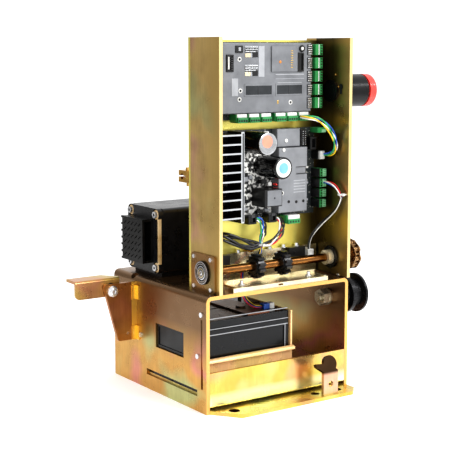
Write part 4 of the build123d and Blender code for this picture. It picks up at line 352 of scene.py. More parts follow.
# Polished cap, dipped lacquer and a polished window.
RED = moulded("red_button_cap", "#F04A42", "#D83A34", (0.2, 0.32), 1.6, bump=0.12)
ORANGE = moulded("orange_lacquer", "#E08A2E", "#B96A1C")
WINDOW = moulded("tinted_display_window", "#2E3134", "#202326", (0.1, 0.16), 6.0, bump=0.05)
# Edges of the steel laminations, varnished tan.
TAN = moulded("varnished_laminations", "#D9BE92", "#B2925F", (0.3, 0.45), 0.5, bump=0.4)
BOARD = solder_mask("black_solder_mask")
CROWDED = crowded_board("crowded_board_face")
WIRE = {skin: wire_skin(f"pvc_{skin}", base, shade) for skin, base, shade in (
    ("red", "#D4262B", "#A81B1E"), ("white", "#F0EFEA", "#D2D1CA"),
    ("black", "#17171A", "#0B0B0D"), ("blue", "#2A62C4", "#1E4B9C"),
    ("green", "#2FA862", "#208048"), ("yellow", "#F0CC30", "#CCA820"),
)}


# Modelling: each piece starts as a primitive and is shaped in edit mode


def deselect():
    """Leave nothing selected, so that an operator acts on the new piece alone."""
    bpy.ops.object.select_all(action="DESELECT")


def pick(*pieces):
    """Select these pieces alone, the first one active."""
    deselect()
    for piece in pieces:
        piece.select_set(True)
    bpy.context.view_layer.objects.active = pieces[0]


def settle(name, material):
    """Name the active piece, put its place in its mesh and give it its finish."""
    bpy.ops.object.transform_apply(location=True, rotation=True, scale=True)
    piece = bpy.context.object
    piece.name = piece.data.name = name
    piece.data.materials.append(material)
    return piece


def edit_all():
    """Enter edit mode with the whole active piece selected."""
    bpy.ops.object.mode_set(mode="EDIT")
    bpy.ops.mesh.select_all(action="SELECT")


def edit_widest(piece, way):
    """Enter edit mode with only the widest face selected that looks one way."""
    facing = [face for face in piece.data.polygons if face.normal.dot(way) > 0.99]
    widest = max(facing, key=lambda face: face.area).index
    pick(piece)
    bpy.ops.object.mode_set(mode="EDIT")
    bpy.ops.mesh.select_mode(type="FACE")
    bpy.ops.mesh.select_all(action="DESELECT")
    bpy.ops.object.mode_set(mode="OBJECT")
    for face in piece.data.polygons:
        face.select = face.index == widest
    bpy.ops.object.mode_set(mode="EDIT")


def leave():
    """Back to object mode."""
    bpy.ops.object.mode_set(mode="OBJECT")


def block(name, low, high, edge, material):
    """A block between two corners, its edges rounded."""
    deselect()
    low = place(*low)
    high = place(*high)
    bpy.ops.mesh.primitive_cube_add(size=1, location=(low + high) / 2)
    bpy.context.object.scale = high - low
    piece = settle(name, material)
    edit_all()
    bpy.ops.mesh.bevel(offset=edge * MM, segments=2, affect="EDGES")
    leave()
    return piece


def recess(piece, way, rim, depth, inner=None):
    """Push in the widest face that looks one way; its floor may have its own finish."""
    edit_widest(piece, way)
    bpy.ops.mesh.inset(thickness=rim * MM, depth=0)
    bpy.ops.mesh.extrude_region_move(TRANSFORM_OT_translate={"value": -way * depth * MM})
    leave()
    if inner:
        piece.data.materials.append(inner)
        for face in piece.data.polygons:
            if face.select:
                face.material_index = len(piece.data.materials) - 1
    return piece


# A turned piece grows outwards: x to the left, y to the front and z up.
TURN = {"x": (0, -math.pi / 2, 0), "y": (math.pi / 2, 0, 0), "z": (0, 0, 0)}


def turned(name, centre, axis, profile, material, sides=24):
    """A disc drawn out ring by ring along its profile of (along, radius), as on a lathe."""
    deselect()
    start, radius = profile[0]
    bpy.ops.mesh.primitive_circle_add(vertices=sides, radius=radius * MM, fill_type="NGON",
                                      location=(0, 0, start * MM))
    edit_all()
    for (from_along, from_radius), (along, radius) in zip(profile, profile[1:]):
        step = (0, 0, (along - from_along) * MM)
        bpy.ops.mesh.extrude_region_move(TRANSFORM_OT_translate={"value": step})
        growth = radius / from_radius
        bpy.ops.transform.resize(value=(growth, growth, 1), center_override=(0, 0, along * MM))
    bpy.ops.mesh.select_all(action="SELECT")
    bpy.ops.mesh.normals_make_consistent(inside=False)
    leave()
    bpy.ops.object.transform_apply(location=True)
    bpy.context.object.rotation_euler = TURN[axis]
    bpy.context.object.location = place(*centre)
    piece = settle(name, material)
    bpy.ops.object.shade_smooth_by_angle(angle=math.radians(40))
    return piece


def stud(name, centre, axis, radius, proud, material, sides=24, crown=()):
    """A low round piece that stands proud of a face, its crown drawn as further rings."""
    profile = [(ROOT, radius), (proud, radius), *crown]
    return turned(name, centre, axis, profile, material, sides)


def copy(piece, name, shift):
    """A copy with its own mesh, moved by millimetres."""
    pick(piece)
    bpy.ops.object.duplicate(linked=False)
    twin = bpy.context.object
    twin.name = twin.data.name = name
    twin.location = Vector(shift) * MM
    bpy.ops.object.transform_apply(location=True)
    return twin


def row(piece, name, shifts):
    """The piece and its copies at these shifts."""
    return [piece] + [copy(piece, f"{name}_{i + 2}", shift) for i, shift in enumerate(shifts)]


def even_row(piece, name, step, count):
    """That many of the piece, each one step from the one before."""
    return row(piece, name, [Vector(step) * i for i in range(1, count)])


def joined(name, pieces):
    """Several pieces as one, each face with its own finish."""
    pick(*pieces)
    if len(pieces) > 1:
        bpy.ops.object.join()
    bpy.context.object.name = bpy.context.object.data.name = name
    return bpy.context.object


def mount(piece, body, slot, *nodes):
    """The piece rides on its body and may stand for CAD nodes; its slot is not used."""
    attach(piece, body)
    if nodes:
        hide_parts(*nodes)


def dress(material, *names):
    """Give CAD nodes their finish."""
    for name in names:
        node = NODES[name]
        node.data.materials.clear()
        node.data.materials.append(material)


def loom(name, route, skins, gap, thickness, nodes, slack=1.6):
    """Wires along one route: they lie side by side at its ends and open out between them."""
    first_angle, twist = 0.6, 0.5
    unevenness, next_wire = 0.3, 2.1
    curve = bpy.data.curves.new(name, "CURVE")
    curve.dimensions = "3D"
    curve.bevel_depth = thickness / 2 * MM
    curve.bevel_resolution = 3
    curve.use_fill_caps = True
    last = len(route) - 1
    for number, skin in enumerate(skins):
        curve.materials.append(WIRE[skin])
        around = 2 * math.pi * number / len(skins) + first_angle
        open_out = 1 + unevenness * math.sin(number * next_wire)
        spline = curve.splines.new("NURBS")
        spline.points.add(last)
        for index, (point, (x, y, z)) in enumerate(zip(spline.points, route)):
            wide = gap * (1 + slack * math.sin(math.pi * index / last) * open_out)
            angle = around + twist * index
            point.co = (*place(x + wide * math.cos(angle), y, z + wide * math.sin(angle)), 1)
        spline.material_index = number
        spline.order_u = 3
        spline.use_endpoint_u = True
    piece = bpy.data.objects.new(name, curve)
    bpy.context.collection.objects.link(piece)
    mount(piece, "operator", "wire_cover", *nodes)


def camera():
    """The photograph's viewpoint: ahead of the left side and looking a little down."""
    # Fitted to corners of the object in the photograph; the lens is first given in pixels.
    focal_length, picture_width = 1168, 460
    aside, down = math.radians(34.518), math.radians(7.637)
    data = bpy.data.cameras.new("camera")
    data.sensor_width = 36
    data.lens = 36 * focal_length / picture_width
    data.shift_y = -0.05
    data.clip_start = 0.01
    data.clip_end = 50
    eye = bpy.data.objects.new("camera", data)
    bpy.context.collection.objects.link(eye)
    eye.location = place(-811.5, -1233.6, 472.9)
    level = math.cos(down)
    way = Vector((math.sin(aside) * level, math.cos(aside) * level, -math.sin(down)))
    eye.rotation_euler = way.to_track_quat("-Z", "Y").to_euler()
    bpy.context.scene.camera = eye


camera()

# Wires, through the same points as the tubes of the solid model

UPPER_ROUTE = [(184, 40.4, 382), (184, 31, 382), (204, 25, 379), (219, 21, 366),
               (228, 20, 351), (229, 18, 337), (226, 28, 328), (226, 40.4, 328)]
SIDE_ROUTE = [(226, 40.4, 289), (226, 27, 289), (230.5, 14, 281.5), (230.5, 7.5, 270),
              (230, 13, 256.5), (228, 28, 243), (223, 41, 231), (214, 46.5, 219),
              (210, 54, 206), (210, 54, 193)]
CENTRE_LEFT_ROUTE = [(112, 50, 244), (120, 50, 244), (126, 48, 235), (126, 47, 223),
                     (122, 48.5, 219), (122, 48.5, 211)]
CENTRE_RIGHT_ROUTE = [(146, 50, 242), (155, 50, 242), (159, 48.5, 232), (154, 46, 220),
                      (142, 46, 211), (134, 48.5, 208), (126, 48.5, 208)]
BATTERY_ROUTE = [(122, 48.5, 205), (122, 48.5, 198), (117, 55, 188), (105, 58, 181),
                 (94, 54, 171), (92, 49.5, 160), (92, 49.5, 145), (98, 51, 133),
                 (110, 54, 124), (119, 55, 119.8), (128.5, 55, 119.8)]
MOTOR_ROUTE = [(62, 71, 224), (62, 57, 224), (80, 50, 217), (100, 47.5, 209),
               (108, 48.5, 208), (118, 48.5, 208)]
loom("upper_loop", UPPER_ROUTE, ["green", "yellow", "white", "blue"],
     gap=1.3, thickness=2.2, nodes=["wires_upper"])
loom("side_loop_top", SIDE_ROUTE[:4], ["red", "white", "blue", "black"],
     gap=1.0, thickness=2.0, nodes=[], slack=1.2)
loom("side_loop_foot", SIDE_ROUTE[3:], ["black", "black", "white", "black"],
     gap=1.0, thickness=1.8, nodes=["wires_side"], slack=1.0)
loom("centre_left", CENTRE_LEFT_ROUTE, ["blue", "green", "white", "black", "black"],
     gap=1.6, thickness=2.4, nodes=[])
loom("centre_right", CENTRE_RIGHT_ROUTE, ["black", "white", "red", "black", "black"],
     gap=1.6, thickness=2.4, nodes=["wires_centre"])
loom("battery_leads", BATTERY_ROUTE, ["red", "black", "yellow", "blue"],
     gap=1.2, thickness=2.2, nodes=["wires_battery"], slack=0.8)
loom("motor_leads", MOTOR_ROUTE, ["black"] * 5,
     gap=3.0, thickness=3.8, nodes=["motor_cable"], slack=1.3)

# Finish of the pieces that keep their solid as it is

dress(SHEET, "chassis")
dress(BRACKET, "lever_bracket")
dress(BEARING_PLATE, "bearing_plates")
dress(PANEL, "control_channel")
dress(APRON, "front_apron")
dress(FOOT, "foot_plate")
dress(TRAY, "battery_tray")
dress(PALE, "detent_strip", "detent_plate", "switch_rail")
dress(LEVER, "release_lever")
dress(SHADED_ZINC, "inner_floor", "battery_strap")
dress(HASP, "padlock_hasp")
dress(BRIGHT, "detent_posts", "bearing_inner_rings", "standoffs", "screws")
dress(DULL_BOLT, "idler_bolts")
dress(COLLAR, "shaft_collars")
dress(GREASED, "bearing_outer_rings")
dress(SHAFT, "limit_shaft", "output_shaft")
dress(OILED, "limit_wheel", "output_limit_wheel", "drive_wheel", "limit_chain", "detent_springs")
dress(WHEEL, "idler_wheel_front", "idler_wheel_rear")
dress(BRONZE, "idler_bush_front", "idler_bush_rear")
dress(CAST, "gear_case")
dress(ENAMEL, "motor_body", "motor_end_cap")
dress(NYLON, "limit_switches", "relay")
dress(BARREL, "fin_pad", "reset_barrel")
dress(SLEEVE, "capacitors")
dress(ACETAL, "limit_nut_left", "limit_nut_right")
dress(ABS_CASE, "battery_front", "battery_rear")
dress(RUBBER, "rubber_rings", "pivot_washer")
dress(BOARD, "circuit_boards")
dress(GREY, "main_cover")
dress(POWER_GREY, "power_cover")
dress(SINK, "heat_sink")
dress(RED, "reset_button")
dress(BRASS, "ground_clamp")


# Terminal plugs


def plug(name, pieces, first, step, count, radius):
    """A plug of these blocks, with a row of dark mouths for its wires, a hair proud of its face."""
    mouth = turned(f"{name}_mouth", first, "y", [(-0.3, radius), (0.12, radius)], NYLON, 12)
    return joined(name, pieces + even_row(mouth, mouth.name, step, count))


def upright_plug():
    """Plug of the right column: green header, white middle, green front with four mouths."""
    low, high = 466.4, 481.4
    pieces = [
        block("plug_header", (209, 41.4, low), (214.6, BOARD_FRONT, high), 0.5, GREEN),
        block("plug_middle", (214.4, 42.4, 466.7), (217.2, BOARD_FRONT, 481.1), 0.4, WHITE),
        block("plug_front", (217, PLUG_FRONT, low), (221, BOARD_FRONT, high), 0.5, GREEN),
    ]
    return plug("upright_plug", pieces, (219, PLUG_FRONT, low + 1.8), (0, 0, 3.8), 4, 1.3)


def foot_plug():
    """Plug of the row under the upper cover: white top, green front edge with four mouths."""
    left, right = 78, 94
    pieces = [
        block("plug_header", (left - 1.2, 44, 377.5), (left + 0.4, BOARD_FRONT, 388), 0.4, GREEN),
        block("plug_top", (left, 42.6, 383.6), (right, BOARD_FRONT, 388.4), 0.6, WHITE),
        block("plug_front", (left, PLUG_FRONT, 376.6), (right, BOARD_FRONT, 384), 0.5, GREEN),
    ]
    return plug("foot_plug", pieces, (left + 2.1, PLUG_FRONT, 379.6), (3.9, 0, 0), 4, 1.5)


def side_plug():
    """Plug at the edge of the lower board: pale middle between green ends."""
    low, high = 253.2, 265
    corner = (229.8, BOARD_FRONT, high - 0.4)
    pieces = [
        block("plug_side", (217, PLUG_FRONT + 0.4, low), (218.4, BOARD_FRONT, high), 0.3, NYLON),
        block("plug_front", (218.2, PLUG_FRONT, low), (223.4, BOARD_FRONT, high), 0.5, GREEN),
        block("plug_cap", (223.2, PLUG_FRONT, low + 0.4), corner, 0.5, PALE_GREEN),
    ]
    rib = block("plug_rib", (224.4, PLUG_FRONT - 0.3, low + 2), (229, 42, low + 2.8), 0.2, GREEN)
    pieces += even_row(rib, "plug_rib", (0, 0, 2.6), 4)
    return plug("side_plug", pieces, (221, PLUG_FRONT, low + 2), (0, 0, 3.9), 3, 1.3)


def corner_plugs():
    """White plug of the upper loop and the small green one above the lower board."""
    return [
        block("loop_plug", (219, PLUG_FRONT, 321.5), (226.5, BOARD_FRONT, 333), 0.6, WHITE),
        block("loop_plug_base", (217.4, 45, 320.8), (230, BOARD_FRONT, 333), 0.6, NYLON),
        block("corner_plug", (214.7, PLUG_FRONT + 2, 358.6), (229, BOARD_FRONT, 365.8), 0.5, GREEN),
        block("corner_plug_face", (221.5, PLUG_FRONT, 359), (228.6, 46, 363.4), 0.5, PALE_GREEN),
    ]


def wide_plug():
    """Plug at the foot of the lower board, its white back above its green front."""
    pieces = [
        block("wide_plug_end", (162, 43, 234.2), (164.6, BOARD_FRONT, 246), 0.4, GREEN),
        block("wide_plug_top", (164, 41.6, 240), (184, BOARD_FRONT, 246), 0.6, WHITE),
        block("wide_plug_front", (163, PLUG_FRONT, 234), (184, BOARD_FRONT, 240.4), 0.5, GREEN),
    ]
    return plug("wide_plug", pieces, (167, PLUG_FRONT, 237), (4.6, 0, 0), 4, 1.4)


def wire_sockets():
    """Two black sockets under the lower board, each with a latch and a sunk mouth."""
    body = block("wire_socket", (98, 44.4, 238), (112, BOARD_FRONT, 250), 0.8, NYLON)
    recess(body, -Y, 1.6, 3, SLEEVE)
    latch = block("socket_latch", (102, 43.2, 247), (108, 45, 251), 0.5, DARK_GREY)
    socket = joined("wire_socket", [body, latch])
    return row(socket, "wire_socket", [(34, 0, 0)])


def zip_tie(name, centre, axis, radius, tail):
    """White nylon tie: a band round the wires, its square head and its cut tail."""
    # The head and the tail sit ahead of the band.
    x, y, z = centre
    y -= radius
    inner, wide = radius - 0.8, 1.2
    profile = [(-wide, inner), (-wide, radius), (wide, radius), (wide, inner)]
    return [
        turned(name, centre, axis, profile, WHITE),
        block("tie_head", (x - 2, y - 2, z - 1.8), (x + 2, y + 0.6, z + 1.8), 0.5, WHITE),
        block("tie_tail", (x + 1, y - 1.2, z - 0.9), (x + tail, y - 0.3, z + 0.9), 0.2, WHITE),
    ]


def loose_connectors():
    """Ties and clip of the looms, plug of the limit switches and plugs of the battery leads."""
    pieces = zip_tie("loom_tie", (122, 48.5, 208), "z", 5.4, 8)
    pieces += zip_tie("side_tie", (230.4, 9, 274), "z", 4.6, 7.5)
    switch_plug = block("switch_plug", (206, 50.2, 184), (216, 67, 193), 0.6, WHITE)
    pieces.append(recess(switch_plug, -Y, 1.2, 1.5))
    pieces.append(block("battery_plug_blue", (128.5, 50, 115.8), (139, 60, 123.6), 0.8, BLUE))
    pale = block("battery_plug_white", (138.4, 49.4, 115.8), (146.5, 60.4, 123.8), 0.7, WHITE)
    pieces.append(recess(pale, Z, 1.4, 1))
    return pieces


def terminal_plugs():
    """Every plug and connector: together they stand for one node of the solid model."""
    upright = even_row(upright_plug(), "upright_plug", (0, 0, UPRIGHT_STEP), 5)
    mount(joined("upright_plugs", upright), "operator", "plug_green")
    # The row at the foot is parted in the middle.
    shifts = [(20, 0, 0), (40, 0, 0), (64.5, 0, 0), (84.5, 0, 0), (104.5, 0, 0)]
    mount(joined("foot_plugs", row(foot_plug(), "foot_plug", shifts)), "operator", "plug_green")
    sides = even_row(side_plug(), "side_plug", (0, 0, 14.4), 4)
    mount(joined("side_plugs", sides + corner_plugs() + [wide_plug()]), "operator", "plug_green")
    loose = joined("loose_connectors", wire_sockets() + loose_connectors())
    mount(loose, "operator", "plug_green", "terminal_plugs")


terminal_plugs()


# Fittings of the upper cover


def display(name, left, right):
    """Display behind a sunk tinted window, its two halves parted by a thin bar."""
    window = block(name, (left - 1.6, 44.8, 411.6), (right + 1.6, 46.5, 428), 0.4, GREY)
    recess(window, -Y, 1.8, 0.9, WINDOW)
    middle = (left + right) / 2
    low, high = (middle - 0.4, 45.2, 413.6), (middle + 0.4, 46, 426)
    return [window, block(f"{name}_bar", low, high, 0.15, DARK_GREY)]


def pin_comb(name, top):
    """Open header: three tinned contact bars over a pale key and a dark mouth."""
    mouth = block(name, (91.5, 44.9, top - 15.4), (113.1, 46, top), 0.3, SILVER_GREY)
    bars = []
    for i, right in enumerate((112.6, 112.6, 109.2)):
        z = top - 2.6 - 2.9 * i
        bars.append(block(f"{name}_bar", (92, 43.9, z), (right, 45.6, z + 1.5), 0.3, TIN))
        bars.append(block(f"{name}_gap", (92, 44.4, z - 1.2), (right, 45.4, z - 0.1), 0.2, NYLON))
    dark = block(f"{name}_mouth", (104, 44.2, top - 15.2), (113, 45.6, top - 7.4), 0.4, NYLON)
    key = block(f"{name}_key", (92, 44.3, top - 15.2), (101, 45.6, top - 10), 0.4, COLLAR)
    return [mouth, dark, key, *bars]


def ringed_screw(name, x, z, front):
    """Screw sunk in a pale ring of the cover."""
    centre = (x, front, z)
    lip = [(0.7, 2.7), (0.7, 1.9), (0.1, 1.7)]
    ring = stud(name, centre, "y", 3.1, 0.5, WHITE, crown=lip)
    head = stud(f"{name}_head", centre, "y", 1.8, 0.25, NYLON, 12, [(0.4, 1.3)])
    return [ring, head]


def edge_sockets():
    """Black sockets at the left end of the upper cover."""
    tall = block("edge_socket", (61.7, 43.6, 444.6), (73.2, 46, 467.4), 0.6, NYLON)
    recess(tall, -Y, 1.4, 1.2, SLEEVE)
    bar = block("edge_socket_bar", (63.8, 43.2, 448), (66, 45.6, 464.5), 0.5, WHITE)
    small = block("small_socket", (76.5, 43.8, 469.6), (88.2, 46, 479.2), 0.5, NYLON)
    contact = block("small_socket_contact", (80.6, 43.2, 472), (84.6, 45, 477), 0.4, SILVER_GREY)
    pin = block("edge_pin", (69, 43.3, 447.6), (72, 45.4, 448.8), 0.2, DARK_GREY)
    return [tall, bar, small, contact, *even_row(pin, "edge_pin", (0, 0, 2.9), 6)]


def raised_panel_marks():
    """Indicator lamps of the raised panel: one orange, and a column of small gold ones."""
    front = RAISED_FRONT
    orange = stud("orange_lamp", (149.5, front, 457.5), "y", 1.9, 0.4, ORANGE, 16, [(0.9, 1.2)])
    low, high = (167.6, front - 0.35, 449.4), (171.4, front + 0.1, 450.4)
    first = block("small_lamp", low, high, 0.15, GOLD_PIN)
    return [orange, *even_row(first, "small_lamp", (0, 0, 3.2), 8)]


def cover_connector():
    """Black connector and round post at the right end of the raised panel."""
    body = block("cover_connector", (179.4, 42.6, 444), (190, 46, 470), 0.6, NYLON)
    recess(body, -Y, 1.6, 1.6, SLEEVE)
    x, z = 187.8, 475.4
    lip = [(2.0, 4.0), (2.0, 2.6), (1.0, 2.4)]
    post = stud("cover_post", (x, COVER_FRONT, z), "y", 4.6, 1.4, NYLON, crown=lip)
    cap = stud("cover_post_screw", (x, 44.2, z), "y", 2.3, 0.6, WHITE, 16, [(1.1, 1.4)])
    return [body, post, cap]


def contact_strip():
    """Strip of sprung contacts beside the plugs: one group of five fingers for each plug."""
    base = block("contact_base", (197.4, 44.3, 466.4), (205.6, 46, 481.6), 0.3, DARK_GREY)
    finger = block("contact_finger", (198, 43.3, 467.2), (204.8, 44.6, 468.7), 0.35, TIN)
    fingers = even_row(finger, "contact_finger", (0, 0, 2.9), 5)
    group = joined("contact_group", [base, *fingers])
    return even_row(group, "contact_group", (0, 0, UPRIGHT_STEP), 5)


def cover_ridges():
    """Low ridges and pale fields of the cover, and a gold slot for a key."""
    return [
        block("long_ridge", (143, 44.9, 439.6), (192, 45.6, 441.2), 0.25, SILVER_GREY),
        block("short_ridge", (143, 44.9, 434.2), (192, 45.6, 435), 0.25, SILVER_GREY),
        block("low_ridge", (146, 44.9, 428.6), (188, 45.6, 429.6), 0.25, SILVER_GREY),
        block("light_panel", (114.3, 44.8, 437.6), (124.2, 45.8, 478.7), 0.3, SILVER_GREY),
        block("left_field", (70.5, 45.0, 412.6), (81, 45.8, 436), 0.25, SILVER_GREY),
        block("key_slot", (146.2, 45.1, 400.8), (148.4, 45.8, 405.4), 0.3, GOLD_PIN),
    ]


def upper_cover_fittings():
    """What stands on the front of the upper cover."""
    pieces = display("display_left", 92.5, 137) + display("display_right", 144.5, 189)
    pieces += pin_comb("comb_top", 479) + pin_comb("comb_low", 454.2)
    screws = ((83.2, 461.2), (84.8, 419.5), (83.2, 407.9), (168.7, 402.3))
    for i, (x, z) in enumerate(screws):
        pieces += ringed_screw(f"cover_screw_{i + 1}", x, z, COVER_FRONT)
    pieces += edge_sockets() + raised_panel_marks() + cover_connector() + contact_strip()
    pieces += cover_ridges()
    mount(joined("upper_cover_fittings", pieces), "operator", "cover_grey")


upper_cover_fittings()


# Pieces on the lower board


def can_ends():
    """Faces of the two cans: grey with a salmon print, and white with a sky blue one."""
    upper, lower = (106, CAN_FRONT, 350), (132, CAN_FRONT, 316)
    crimp = [(ROOT, 14.8), (0.3, 14.6), (0.5, 14.0), (0.3, 13.2)]
    return [
        turned("upper_can_rim", upper, "y", crimp, TIN, 40),
        stud("upper_can_end", upper, "y", 13.0, 0.45, CAN_END, 40, [(0.55, 12.6)]),
        stud("upper_can_print", (104.6, CAN_FRONT, 353), "y", 8.4, 0.8, SALMON, 40),
        stud("lower_can_end", lower, "y", 12.4, 0.3, WHITE, 40, [(0.45, 12)]),
        stud("lower_can_print", lower, "y", 7.4, 0.6, SKY, 40),
    ]


def relay_face():
    """Grey front of the relay with its vent."""
    front = RELAY_FRONT - 0.5
    return [
        block("relay_face", (118.6, front, 263.4), (142.6, RELAY_FRONT + 0.4, 284.6), 0.3, GREY),
        stud("relay_vent", (130.6, front, 274), "y", 1.2, 0.1, NYLON, 12),
    ]


def board_fields():
    """Crowded fields of the board, and the web of the sink between its fins, painted dark as shade.
    """
    return [
        block("crowded_area", (81, 59, 249), (147, 59.7, 341), 0.15, CROWDED),
        block("crowded_edge", (199.5, 59, 250), (206, 59.7, 330), 0.15, CROWDED),
        block("sink_web_shade", (76.1, 26.9, 246), (77.9, 27.8, 364), 0.2, DARK_GREY),
    ]


def power_cover_fittings():
    """Screw, lamp holes, printed band and sunk field of the lower cover."""
    front = POWER_COVER_FRONT
    pieces = ringed_screw("power_cover_screw", 153.6, 277.8, front)
    lip = [(0.35, 1.5), (0.1, 1.4)]
    for x, z in ((165.5, 265), (178.7, 264), (191, 264.4)):
        pieces.append(stud("lamp_hole", (x, front, z), "y", 2.1, 0.35, NYLON, 16, lip))
    pieces += [
        block("groove_line", (178.2, 46.7, 302.4), (197.6, 47.6, 312.6), 0.2, NYLON),
        block("sunk_field", (178.8, 46.4, 303), (197, 47.3, 312), 0.2, POWER_GREY),
    ]
    line = block("pale_line", (174, 43.2, 277), (194, 43.8, 278.4), 0.15, SILVER_GREY)
    pieces += even_row(line, "pale_line", (0, 0, 4), 5)
    for pin in ((163.4, UPPER_COVER_FRONT, 349.6), (156.3, front, 337.2)):
        pieces.append(stud("white_plug_pin", pin, "y", 2.6, 0.8, WHITE, 20, [(1.3, 1.9)]))
    return pieces


def pin_header():
    """Header above the lower board, with two columns of square pins, and a phone socket."""
    body = block("pin_header_body", (188.6, 47, 341.5), (197.4, BOARD_FRONT, 364), 0.4, NYLON)
    pin = block("header_pin", (190, 43.6, 343), (191.4, 48, 344.2), 0.2, TIN)
    column = joined("header_pins", even_row(pin, "header_pin", (0, 0, 3), 7))
    socket = block("phone_socket", (203.5, 44, 335.5), (214.6, BOARD_FRONT, 353), 0.7, NYLON)
    recess(socket, -Y, 2, 3, SLEEVE)
    return [body, socket, *row(column, "header_pins", [(4, 0, 0)])]


def small_parts():
    """Small components that show between the sink, the cans and the covers."""
    # Film capacitors, chips and resistors, as left, bottom, width, height, depth and finish
    boxes = (
        (81, 329.5, 3.4, 4.2, 9, ORANGE), (81.5, 323.5, 3, 3.2, 8, TAN),
        (81, 318, 3.2, 3.2, 8, ORANGE), (81.5, 312.5, 3, 3, 7, TAN),
        (86, 327, 6, 5, 5, NYLON), (88, 319.5, 7, 4, 4, WHITE), (82, 300, 12, 7, 3, WHITE),
        (96, 296, 9, 6, 4, SILVER_GREY), (84, 290, 7, 6, 5, WHITE), (97, 304, 6, 4, 6, NYLON),
        (106, 299, 5, 5, 6, SILVER_GREY), (82, 262, 8, 7, 6, WHITE),
        (92, 256, 12, 4, 4, SILVER_GREY), (82, 274, 9, 6, 4, WHITE), (96, 266, 9, 5, 5, NYLON),
        (106, 252, 8, 5, 4, WHITE), (124, 292, 9, 5, 9, NYLON), (136, 288, 6, 5, 8, WHITE),
        (120, 250, 10, 5, 5, NYLON), (134, 252, 8, 4, 4, SILVER_GREY), (140, 296, 5, 6, 8, NYLON),
        (122, 358, 6, 5, 5, SILVER_GREY), (132, 357, 8, 6, 4, WHITE), (84, 356, 8, 5, 5, NYLON),
        (201, 316, 5, 3, 1.6, SILVER_GREY), (207, 308, 4, 3, 1.6, WHITE),
        (201, 296, 5, 3, 1.6, WHITE), (207, 286, 4, 3, 1.6, SILVER_GREY),
        (202, 274, 5, 3, 1.6, WHITE), (207, 262, 4, 3, 1.6, SILVER_GREY),
        (203, 325, 6, 5, 3, NYLON), (201, 252, 6, 4, 2.4, TIN),
    )
    pieces = []
    for left, bottom, width, height, depth, finish in boxes:
        low = (left, BOARD_FRONT - depth, bottom)
        high = (left + width, BOARD_FRONT, bottom + height)
        pieces.append(block("small_part", low, high, 0.4, finish))
    for x, z in ((146, 290), (149.5, 287), (145.5, 284.5)):
        pieces.append(stud("choke", (x, 52, z), "y", 1.5, 6, RED, 14, [(7, 0.9)]))
    return pieces


def lower_board_fittings():
    """Everything small on the lower board and its cover."""
    pieces = can_ends() + relay_face() + board_fields() + power_cover_fittings() + pin_header()
    pieces += small_parts()
    mount(joined("lower_board_fittings", pieces), "operator", "cover_grey")


lower_board_fittings()


# Small hardware


def rail_hardware():
    """Bolts along the top of the switch rail, each on its washer, and a brass lug."""
    foot = RAIL_TOP - 0.2
    centre = (96, 66.6, foot)
    washer = turned("rail_washer", centre, "z", [(0, 4.5), (0.8, 4.5)], BRIGHT, 24)
    head = turned("rail_bolt", centre, "z", [(0.8, 3), (4, 3), (4.5, 2.52)], BRIGHT, 6)
    bolt = joined("rail_bolt", [washer, head])
    lug = block("brass_lug", (112, 60, foot), (119, 70.6, RAIL_TOP + 3.5), 0.5, BRASS)
    return [*row(bolt, "rail_bolt", [(54, 0, 0), (78, 0, 0), (101, 0, 0)]), lug]


def motor_trim():
    """Pale edging on the motor's end, with a washer and a socket for each corner screw."""
    y, z = 154.5, 170.5
    corners = [(0, 0, 75), (0, 69, 0), (0, 69, 75)]
    washer = stud("motor_washer", (19.1, y, z), "x", 6.8, 1.0, TAN, 28, [(1.3, 6.3)])
    socket = stud("motor_screw_socket", (14.1, y, z), "x", 2.2, 0.15, NYLON, 6)
    return [
        block("end_edging", (16.6, 145.6, 176), (21.4, 149.4, 240), 0.4, TAN),
        block("edging_groove", (16.4, 147.2, 178), (17.4, 148, 238), 0.15, NYLON),
        *row(washer, "motor_washer", corners),
        *row(socket, "motor_screw_socket", corners),
    ]


def bearing_trim():
    """Polished lips of the left bearing's outer ring, over its dark shield."""
    centre = (BEARING_FACE, *SHAFT_LINE)
    pieces = [stud("bearing_shield", (BEARING_FACE + 0.1, *SHAFT_LINE), "x", 15.4, 0.3, RUBBER, 48)]
    for i, (outer, inner) in enumerate(((15.0, 14.1), (12.2, 11.5))):
        lip = [(0.5, inner), (0.05, inner)]
        pieces.append(stud(f"bearing_lip_{i + 1}", centre, "x", outer, 0.5, BRIGHT, 48, lip))
        pieces.append(stud(f"bearing_gap_{i + 1}", centre, "x", inner, 0.3, RUBBER, 48))
    return pieces


def shaft_end():
    """Left end of the limit shaft: the inner ring's lip and the screw that holds it."""
    # Each ring stands a little further out than the wider one under it.
    rings = ((9.2, BRIGHT), (8, GREASED), (6.2, COLLAR), (5, NYLON), (3.2, BRIGHT), (1.3, NYLON))
    centre = (BEARING_FACE, *SHAFT_LINE)
    pieces = []
    for i, (radius, finish) in enumerate(rings):
        proud = 0.45 + 0.12 * i
        profile = [(0.2, radius), (proud, radius), (proud + 0.05, radius - 0.2)]
        pieces.append(turned(f"shaft_end_{i + 1}", centre, "x", profile, finish, 40))
    return joined("shaft_end", pieces)


def case_ridge_highlights():
    """Ridges round the front panel of the front battery, painted pale grey as the highlights that
    they catch.
    """
    ridges = (
        ("ridge_over_panel", (8, 28.3, 96.6), (154, 29.6, 98)),
        ("ridge_under_lid", (7, 28.3, 104.6), (155, 29.6, 105.8)),
        ("ridge_beside_panel", (148.6, 28.3, 32), (149.8, 29.6, 97)),
        ("lid_ridge", (8, 29.4, 118.4), (154, 30.6, 119.8)),
    )
    return [block(*ridge, 0.5, SILVER_GREY) for ridge in ridges]


